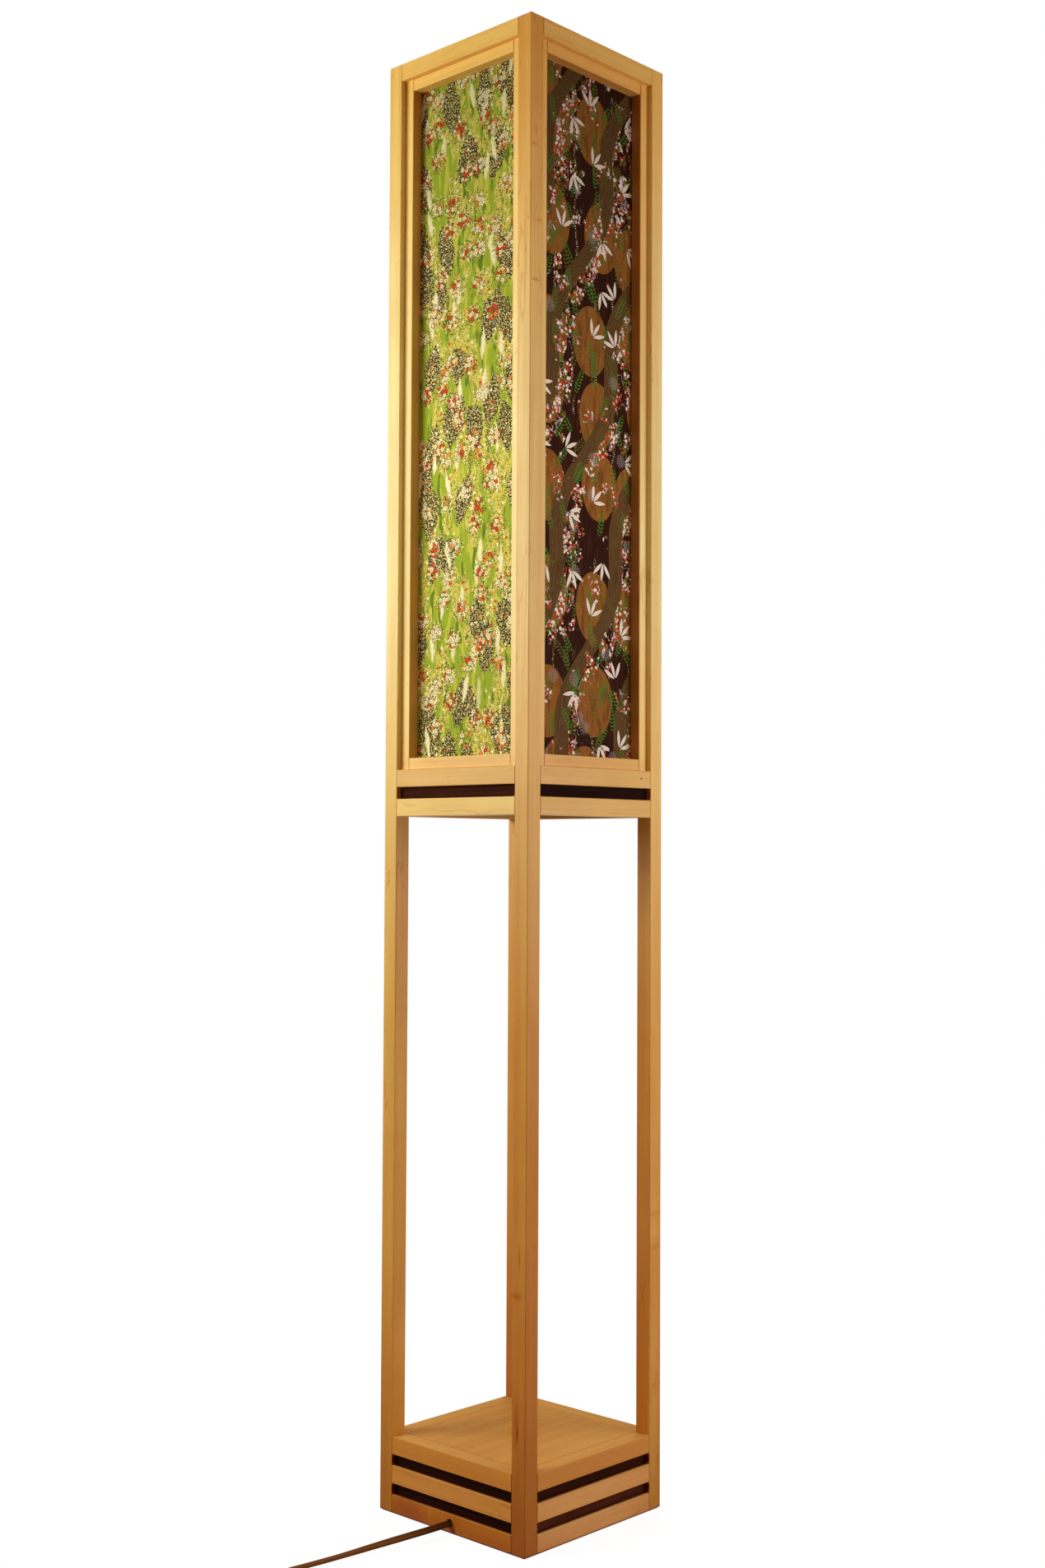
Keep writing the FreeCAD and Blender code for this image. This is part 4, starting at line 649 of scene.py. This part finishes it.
class PaperPrint:  # one printed sheet: inks go on one after the other, each through its own stencil, in millimetres
    def __init__(self, name, side, ground):
        self.material, self.tree, self.surface, place = startMaterial(name, {
            "Roughness": paperLooks["roughness"], "Specular IOR Level": paperLooks["specular"]})
        self.parts = addNode(self.tree, "SeparateXYZ", None, (place,)).outputs
        self.across = addNode(self.tree, "Math", "MULTIPLY", (self.parts["XY".index(side)], 1000.0))
        self.up = addNode(self.tree, "Math", "MULTIPLY", (self.parts[2], 1000.0))
        self.flat = addNode(self.tree, "CombineXYZ", None, (self.across, self.up, 0.0))
        self.colour = addNode(self.tree, "RGB")
        self.colour.outputs[0].default_value = linear(ground)

    def cloud(self, width, height, shift, detail=2.0):  # soft noise in patches of this many millimetres
        spread = addNode(self.tree, "Mapping", None, {
            "Vector": self.flat, "Location": (shift, shift * 0.7, 0), "Scale": (1 / width, 1 / height, 1)})
        return addNode(self.tree, "TexNoise", {"noise_dimensions": "2D"}, {
            "Vector": spread, "Scale": 1.0, "Detail": detail})

    def scatter(self, width, height, shift, jitter=1.0, turning=0.0):  # one motif to a cell: offset from it, and its chances
        cells = addNode(self.tree, "Mapping", None, {
            "Vector": self.flat, "Location": (shift, shift * 1.3, 0), "Scale": (1 / width, 1 / height, 1)})
        spots = addNode(self.tree, "TexVoronoi", {"voronoi_dimensions": "2D"}, {
            "Vector": cells, "Scale": 1.0, "Randomness": jitter})
        away = addNode(self.tree, "VectorMath", "SUBTRACT", (cells, spots.outputs["Position"]))
        away = addNode(self.tree, "VectorMath", "MULTIPLY", (away, (width, height, 0)))
        chance = addNode(self.tree, "SeparateXYZ", None, (spots.outputs["Color"],)).outputs
        if turning:
            turn = addNode(self.tree, "Math", "MULTIPLY_ADD", (chance[0], turning, -turning / 2))
            away = addNode(self.tree, "VectorRotate", {"rotation_type": "Z_AXIS"}, {"Vector": away, "Angle": turn})
        return away, chance

    def between(self, value, low, high, first=0.0, last=1.0):
        return fade(self.tree, value, low, high, first, last)

    def likely(self, chance, low, soft=0.02):  # only the motifs whose chance is above low
        return self.between(chance, low, low + soft)

    def wave(self, value, rate):
        return addNode(self.tree, "Math", "SINE", (addNode(self.tree, "Math", "MULTIPLY", (value, rate)),))

    def ragged(self, value, size, width, height, shift):  # an edge that a cloud moves in and out, size from end to end
        stray = addNode(self.tree, "Math", "MULTIPLY_ADD", (self.cloud(width, height, shift), size, -size / 2))
        return addNode(self.tree, "Math", "ADD", (value, stray))

    def both(self, *stencils):
        result = stencils[0]
        for other in stencils[1:]:
            result = addNode(self.tree, "Math", "MULTIPLY", (result, other))
        return result

    def ink(self, colour, *stencils):  # laid where all the stencils let it through
        over = linear(colour) if isinstance(colour, str) else colour
        self.colour = addNode(self.tree, "Mix", {"data_type": "RGBA"}, {0: self.both(*stencils), "A": self.colour, "B": over})

    def size(self, away):
        return addNode(self.tree, "VectorMath", "LENGTH", (away,)).outputs["Value"]

    def disc(self, away, radius, soft=0.35):
        return self.between(self.size(away), radius, radius - soft)

    def lens(self, away, half, tall):  # how far inside an upright pointed leaf
        reach = addNode(self.tree, "SeparateXYZ", None, (away,))
        up = addNode(self.tree, "Math", "DIVIDE", (reach.outputs[1], tall))
        up = addNode(self.tree, "Math", "MULTIPLY", (up, up))
        edge = addNode(self.tree, "Math", "MULTIPLY_ADD", (up, -half, half))
        return addNode(self.tree, "Math", "SUBTRACT", (edge, addNode(self.tree, "Math", "ABSOLUTE", (reach.outputs[0],))))

    def turnAbout(self, away):
        reach = addNode(self.tree, "SeparateXYZ", None, (away,))
        return addNode(self.tree, "Math", "ARCTAN2", (reach.outputs[1], reach.outputs[0]))

    def blossom(self, away, radius, petals=5, notch=0.36):  # how far inside a flower with round petals
        lobe = addNode(self.tree, "Math", "MULTIPLY", (self.turnAbout(away), petals / 2))
        lobe = addNode(self.tree, "Math", "ABSOLUTE", (addNode(self.tree, "Math", "COSINE", (lobe,)),))
        rim = addNode(self.tree, "Math", "MULTIPLY_ADD", (lobe, radius * notch, radius * (1 - notch)))
        return addNode(self.tree, "Math", "SUBTRACT", (rim, self.size(away)))

    def pick(self, chance, stops):  # one of several inks, by chance
        ramp = addNode(self.tree, "ValToRGB", None, {"Fac": chance})
        ramp.color_ramp.interpolation = "CONSTANT"
        fillRamp(ramp.color_ramp, stops)
        return ramp.outputs["Color"]

    def done(self, depth, face, looks=paperLooks):  # bare back; depth is across the sheet, and the print lies beyond face
        deep = addNode(self.tree, "Math", "ABSOLUTE", (self.parts["XY".index(depth)],))
        outer = self.between(deep, face - looks["faceBlur"], face + looks["faceBlur"])
        self.ink(looks["back"], addNode(self.tree, "Math", "SUBTRACT", (1.0, outer)))
        fibre = self.cloud(looks["fibre"], looks["fibre"], 7.7, 3.0)
        # the fibre mottles the colour, and the two height ramps are painted light and shade
        fibreAndShade = self.both(self.between(fibre, 0.3, 0.7, 0.97, 1.06), self.between(self.up, *looks["lowShade"]),
                         self.between(self.up, *looks["topShade"]))
        shadedPrint = addNode(self.tree, "VectorMath", "SCALE", {0: self.colour, "Scale": fibreAndShade})
        self.tree.links.new(shadedPrint.outputs[0], self.surface.inputs["Base Color"])
        emboss(self.tree, self.surface, fibre, 0.2, 0.1)
        return self.material


def greenPaper(name, side, face, inks=greenPrint):
    # spring meadow print: broad grass-green leaves, beaded seed heads, gold-specked drifts, posies and pale brush strokes
    sheet = PaperPrint(name, side, inks["grass"])
    tree = sheet.tree
    sheet.ink(inks["young"], sheet.between(sheet.cloud(8, 44, 3.1), 0.53, 0.60))
    sheet.ink(inks["deep"], sheet.between(sheet.cloud(9, 40, 41.3), 0.59, 0.66))
    # gold-specked drifts 30 to 60 mm wide
    drift = sheet.between(sheet.cloud(30, 58, 77.0, 3.0), 0.485, 0.515)
    sheet.ink(inks["haze"], drift, sheet.between(sheet.cloud(5, 12, 12.0), 0.42, 0.56))
    grain, luck = sheet.scatter(1.9, 1.9, 15.0)
    sheet.ink(sheet.pick(luck[1], ((0, inks["bark"]), (0.36, inks["yellow"]), (0.66, inks["cream"]), (0.88, inks["gold"]))),
              drift, sheet.disc(grain, 0.8), sheet.likely(luck[2], 0.30, 0.01))
    # beaded seed heads: dark pointed shapes filled with cream and stone dots 2 mm apart
    for shift, width, height, chanceLow in ((23.0, 43, 70, 0.22), (64.0, 49, 83, 0.34)):
        head, chance = sheet.scatter(width, height, shift, 0.9, 0.7)
        inside = sheet.ragged(sheet.lens(head, 12.5, 30), 9.0, 4, 5, 9.0)
        heads = sheet.both(sheet.between(inside, 0, 0.4), sheet.likely(chance[1], chanceLow))
        sheet.ink(inks["olive"], heads)
        bead, luck = sheet.scatter(2.3, 2.15, shift / 3, 0.7)
        sheet.ink(sheet.pick(luck[1], ((0, inks["bead"]), (0.42, inks["stone"]), (0.84, inks["cream"]))),
                  heads, sheet.disc(bead, 0.98, 0.4))
    # pale brush strokes
    stroke, chance = sheet.scatter(33, 57, 67.0, 0.95, 0.5)
    inside = sheet.ragged(sheet.lens(stroke, 4.2, 19), 5.0, 3, 9, 21.0)
    sheet.ink(inks["cream"], sheet.between(inside, 0, 1.8), sheet.likely(chance[2], 0.25))
    # posies: a ring of bark-brown specks, then five to eight blossoms close together
    posy, fate = sheet.scatter(29, 37, 53.0, 0.9)
    reach = sheet.ragged(sheet.size(posy), 12.0, 5, 5, 2.0)
    speck, luck = sheet.scatter(2.4, 2.4, 4.0)
    around = sheet.both(sheet.between(reach, 14.5, 12.5), sheet.disc(speck, 0.95, 0.3), sheet.likely(luck[2], 0.3, 0.01))
    sheet.ink(sheet.pick(luck[1], ((0, inks["bark"]), (0.55, inks["cream"]), (0.8, inks["gold"]))), around)
    for shift, width, radius in ((31.0, 5.4, 2.9), (87.0, 6.8, 3.0)):
        away, luck = sheet.scatter(width, width, shift, 0.9, 6.28)
        some = sheet.both(sheet.between(reach, 9.0, 8.6), sheet.likely(luck[2], 0.16))
        half = addNode(tree, "Math", "MULTIPLY", (luck[1], 0.5))
        hue = addNode(tree, "Math", "MULTIPLY_ADD", (fate[2], 0.5, half))
        flower = sheet.blossom(away, radius)
        sheet.ink(inks["bark"], some, sheet.between(flower, -0.6, -0.35))
        sheet.ink(sheet.pick(hue, ((0, inks["cream"]), (0.47, inks["orange"]), (0.56, inks["red"]), (0.72, inks["cream"]))),
                  some, sheet.between(flower, 0, 0.2))
        sheet.ink(sheet.pick(luck[0], ((0, inks["red"]), (0.6, inks["gold"]))), some, sheet.disc(away, radius * 0.32))
    # single small flowers in the drifts
    away, luck = sheet.scatter(7.4, 8.2, 61.0)
    some = sheet.both(drift, sheet.likely(luck[2], 0.45))
    sheet.ink(sheet.pick(luck[1], ((0, inks["cream"]), (0.45, inks["yellow"]), (0.72, inks["red"]), (0.84, inks["orange"]))),
              some, sheet.between(sheet.blossom(away, 2.0, 4), 0, 0.25))
    return sheet.done("Y", face)


def darkPaper(name, side, face, inks=darkPrint):
    # evening garden print: near-black ground, ochre roundels, an olive stream, blossoms, fern sprays and white bamboo leaves
    sheet = PaperPrint(name, side, inks["night"])
    tree = sheet.tree
    sheet.ink(inks["ember"], sheet.between(sheet.cloud(3.2, 40, 3.1), 0.52, 0.72))
    # roundels with a brushed face
    away = sheet.scatter(74, 98, 37.0, 0.45)[0]
    squash = addNode(tree, "VectorMath", "MULTIPLY", (away, (1.10, 0.80, 1)))
    roundel = sheet.disc(squash, 31, 0.6)
    sheet.ink(inks["ochre"], roundel)
    sheet.ink(inks["ochreDeep"], roundel, sheet.between(sheet.cloud(6, 30, 13.0), 0.50, 0.62))
    curls = sheet.wave(sheet.cloud(24, 24, 44.0), 95.0)
    sheet.ink(inks["gold"], roundel, sheet.between(curls, 0.90, 0.98), sheet.between(sheet.cloud(16, 22, 58.0), 0.50, 0.53))
    # stream, wandering across the sheet
    bend = sheet.wave(sheet.up, 1 / 33)
    lean = addNode(tree, "Math", "MULTIPLY_ADD", (sheet.up, -0.42, sheet.across))
    lean = addNode(tree, "Math", "MULTIPLY_ADD", (bend, 15, lean))
    lap = addNode(tree, "Math", "WRAP", (lean, 48.0, -48.0))  # 0 in the middle of the stream
    bank = addNode(tree, "Math", "SUBTRACT", (12.0, addNode(tree, "Math", "ABSOLUTE", (lap,))))
    stream = sheet.between(bank, 0, 0.4)
    sheet.ink(inks["stream"], stream)
    flow = addNode(tree, "Math", "MULTIPLY", (bank, 1.6))
    flow = addNode(tree, "Math", "MULTIPLY_ADD", (sheet.cloud(9, 20, 5.5), 14.0, flow))
    ripples = addNode(tree, "Math", "SINE", (flow,))
    sheet.ink(inks["ripple"], stream, sheet.between(ripples, 0.55, 0.95))
    # dotted trailing vines, three dots across
    swing = sheet.wave(sheet.up, 1 / 11)
    trail = addNode(tree, "Math", "ADD", (sheet.across, 606.0))  # moved along, so that it stays above zero
    trail = addNode(tree, "Math", "MULTIPLY_ADD", (swing, 2.6, trail))
    trail = addNode(tree, "Math", "PINGPONG", (trail, 15.5))
    dot, luck = sheet.scatter(1.9, 2.4, 3.0, 0.5)
    ground = sheet.both(sheet.between(stream, 1, 0), sheet.between(roundel, 1, 0.15))
    vines = sheet.both(sheet.between(trail, 1.9, 1.7), sheet.between(sheet.cloud(30, 60, 19.0), 0.44, 0.48), ground)
    sheet.ink(sheet.pick(luck[1], ((0, inks["gold"]), (0.6, inks["white"]))), vines, sheet.disc(dot, 0.7))
    # fern sprays: a stem with leaflets in pairs 4 mm apart
    ferns = ((47.0, 33, 46, "leaf", 17), (95.0, 39, 52, "moss", 20), (13.0, 44, 50, "leaf", 15))
    for shift, width, height, ink, reach in ferns:
        away, luck = sheet.scatter(width, height, shift, 0.9, 1.6)
        spot = addNode(tree, "SeparateXYZ", None, (away,)).outputs
        out = addNode(tree, "Math", "SUBTRACT", (addNode(tree, "Math", "ABSOLUTE", (spot[0],)), 2.3))
        pair = addNode(tree, "Math", "MULTIPLY_ADD", (out, -0.5, spot[1]))
        pair = addNode(tree, "Math", "WRAP", (pair, 2.0, -2.0))
        leaflet = addNode(tree, "CombineXYZ", None, (addNode(tree, "Math", "MULTIPLY", (out, 0.62)), pair, 0.0))
        within = sheet.between(sheet.lens(away, 5.5, reach), 0, 0.3)
        sheet.ink(inks[ink], sheet.disc(leaflet, 1.35, 0.3), within, sheet.likely(luck[1], 0.3))
    # twigs and blossoms in thick bunches down one bank of the stream, some over the roundels
    beside = sheet.both(sheet.between(lap, 9.5, 11.5), sheet.between(lap, 34.0, 31.0))
    spill = addNode(tree, "Math", "MAXIMUM", (beside, sheet.between(sheet.cloud(30, 34, 88.0), 0.60, 0.62)))
    bunch = sheet.both(spill, sheet.between(sheet.cloud(17, 25, 51.0), 0.46, 0.49))
    twig = addNode(tree, "Math", "ABSOLUTE", (addNode(tree, "Math", "SUBTRACT", (sheet.cloud(15, 15, 35.0, 1.0), 0.5)),))
    sheet.ink(inks["lilac"], spill, sheet.between(twig, 0.014, 0.006), sheet.between(sheet.cloud(13, 18, 6.0), 0.50, 0.54))
    tuft = sheet.cloud(8, 9, 73.0, 1.0)
    for shift, width, radius in ((29.0, 4.1, 1.9), (71.0, 5.2, 2.5)):
        away, luck = sheet.scatter(width, width, shift, 1.0, 6.28)
        some = sheet.both(bunch, sheet.likely(luck[2], 0.16))
        hue = addNode(tree, "Math", "MULTIPLY_ADD", (tuft, 1.2, -0.42))
        hue = addNode(tree, "Math", "MULTIPLY_ADD", (luck[1], 0.6, hue))
        sheet.ink(sheet.pick(hue, ((0, inks["lilac"]), (0.15, inks["white"]), (0.40, inks["red"]), (0.66, inks["leaf"]))),
                  some, sheet.between(sheet.blossom(away, radius), 0, 0.25))
    # needle sprays
    away, luck = sheet.scatter(34, 41, 83.0, 0.9)
    needles = sheet.wave(sheet.turnAbout(away), 14.0)
    sprays = sheet.both(sheet.between(needles, 0.55, 0.9), sheet.disc(away, 8.5, 2.5), sheet.likely(luck[1], 0.5))
    sheet.ink(sheet.pick(luck[2], ((0, inks["lilac"]), (0.5, inks["ember"]), (0.75, inks["gold"]))), sprays)
    # white bamboo leaves, three from one joint, each 20 mm long
    away, luck = sheet.scatter(47, 62, 7.0, 0.75, 5.0)
    angle = sheet.turnAbout(away)
    far = sheet.size(away)
    slant = addNode(tree, "Math", "ABSOLUTE", (addNode(tree, "Math", "WRAP", (angle, 0.36, -0.36)),))
    aside = addNode(tree, "Math", "MULTIPLY", (slant, far))
    along = addNode(tree, "Math", "MULTIPLY_ADD", (far, 1 / 10, -1.15))
    width = addNode(tree, "Math", "MULTIPLY_ADD", (addNode(tree, "Math", "MULTIPLY", (along, along)), -2.3, 2.3))
    inside = addNode(tree, "Math", "SUBTRACT", (width, aside))
    three = sheet.between(addNode(tree, "Math", "ABSOLUTE", (angle,)), 1.09, 1.05)
    some = sheet.both(sheet.likely(luck[1], 0.46), three)
    sheet.ink(inks["white"], some, sheet.between(inside, 0, 0.35))
    sheet.ink(inks["lilac"],
              some, sheet.between(aside, 0.30, 0.12), sheet.between(inside, 0.7, 1.2), sheet.between(far, 3, 5))
    return sheet.done("X", face)


dress("panel_paper_front", greenPaper("meadow_paper_front", "X", paperLooks["fixedFace"]))
dress("panel_paper_rear", greenPaper("meadow_paper_rear", "X", paperLooks["rearFace"]))
dress("panel_paper_right", darkPaper("garden_paper_right", "Y", paperLooks["fixedFace"]))
dress("panel_paper_left", darkPaper("garden_paper_left", "Y", paperLooks["fixedFace"]))
print("papers made")


# hand over: what rides on what, and what replaces what
for piece, replaced in ((firstCord, "power_cord"), (secondCord, "cord_coil")):
    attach(piece, "lamp")
    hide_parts(replaced)
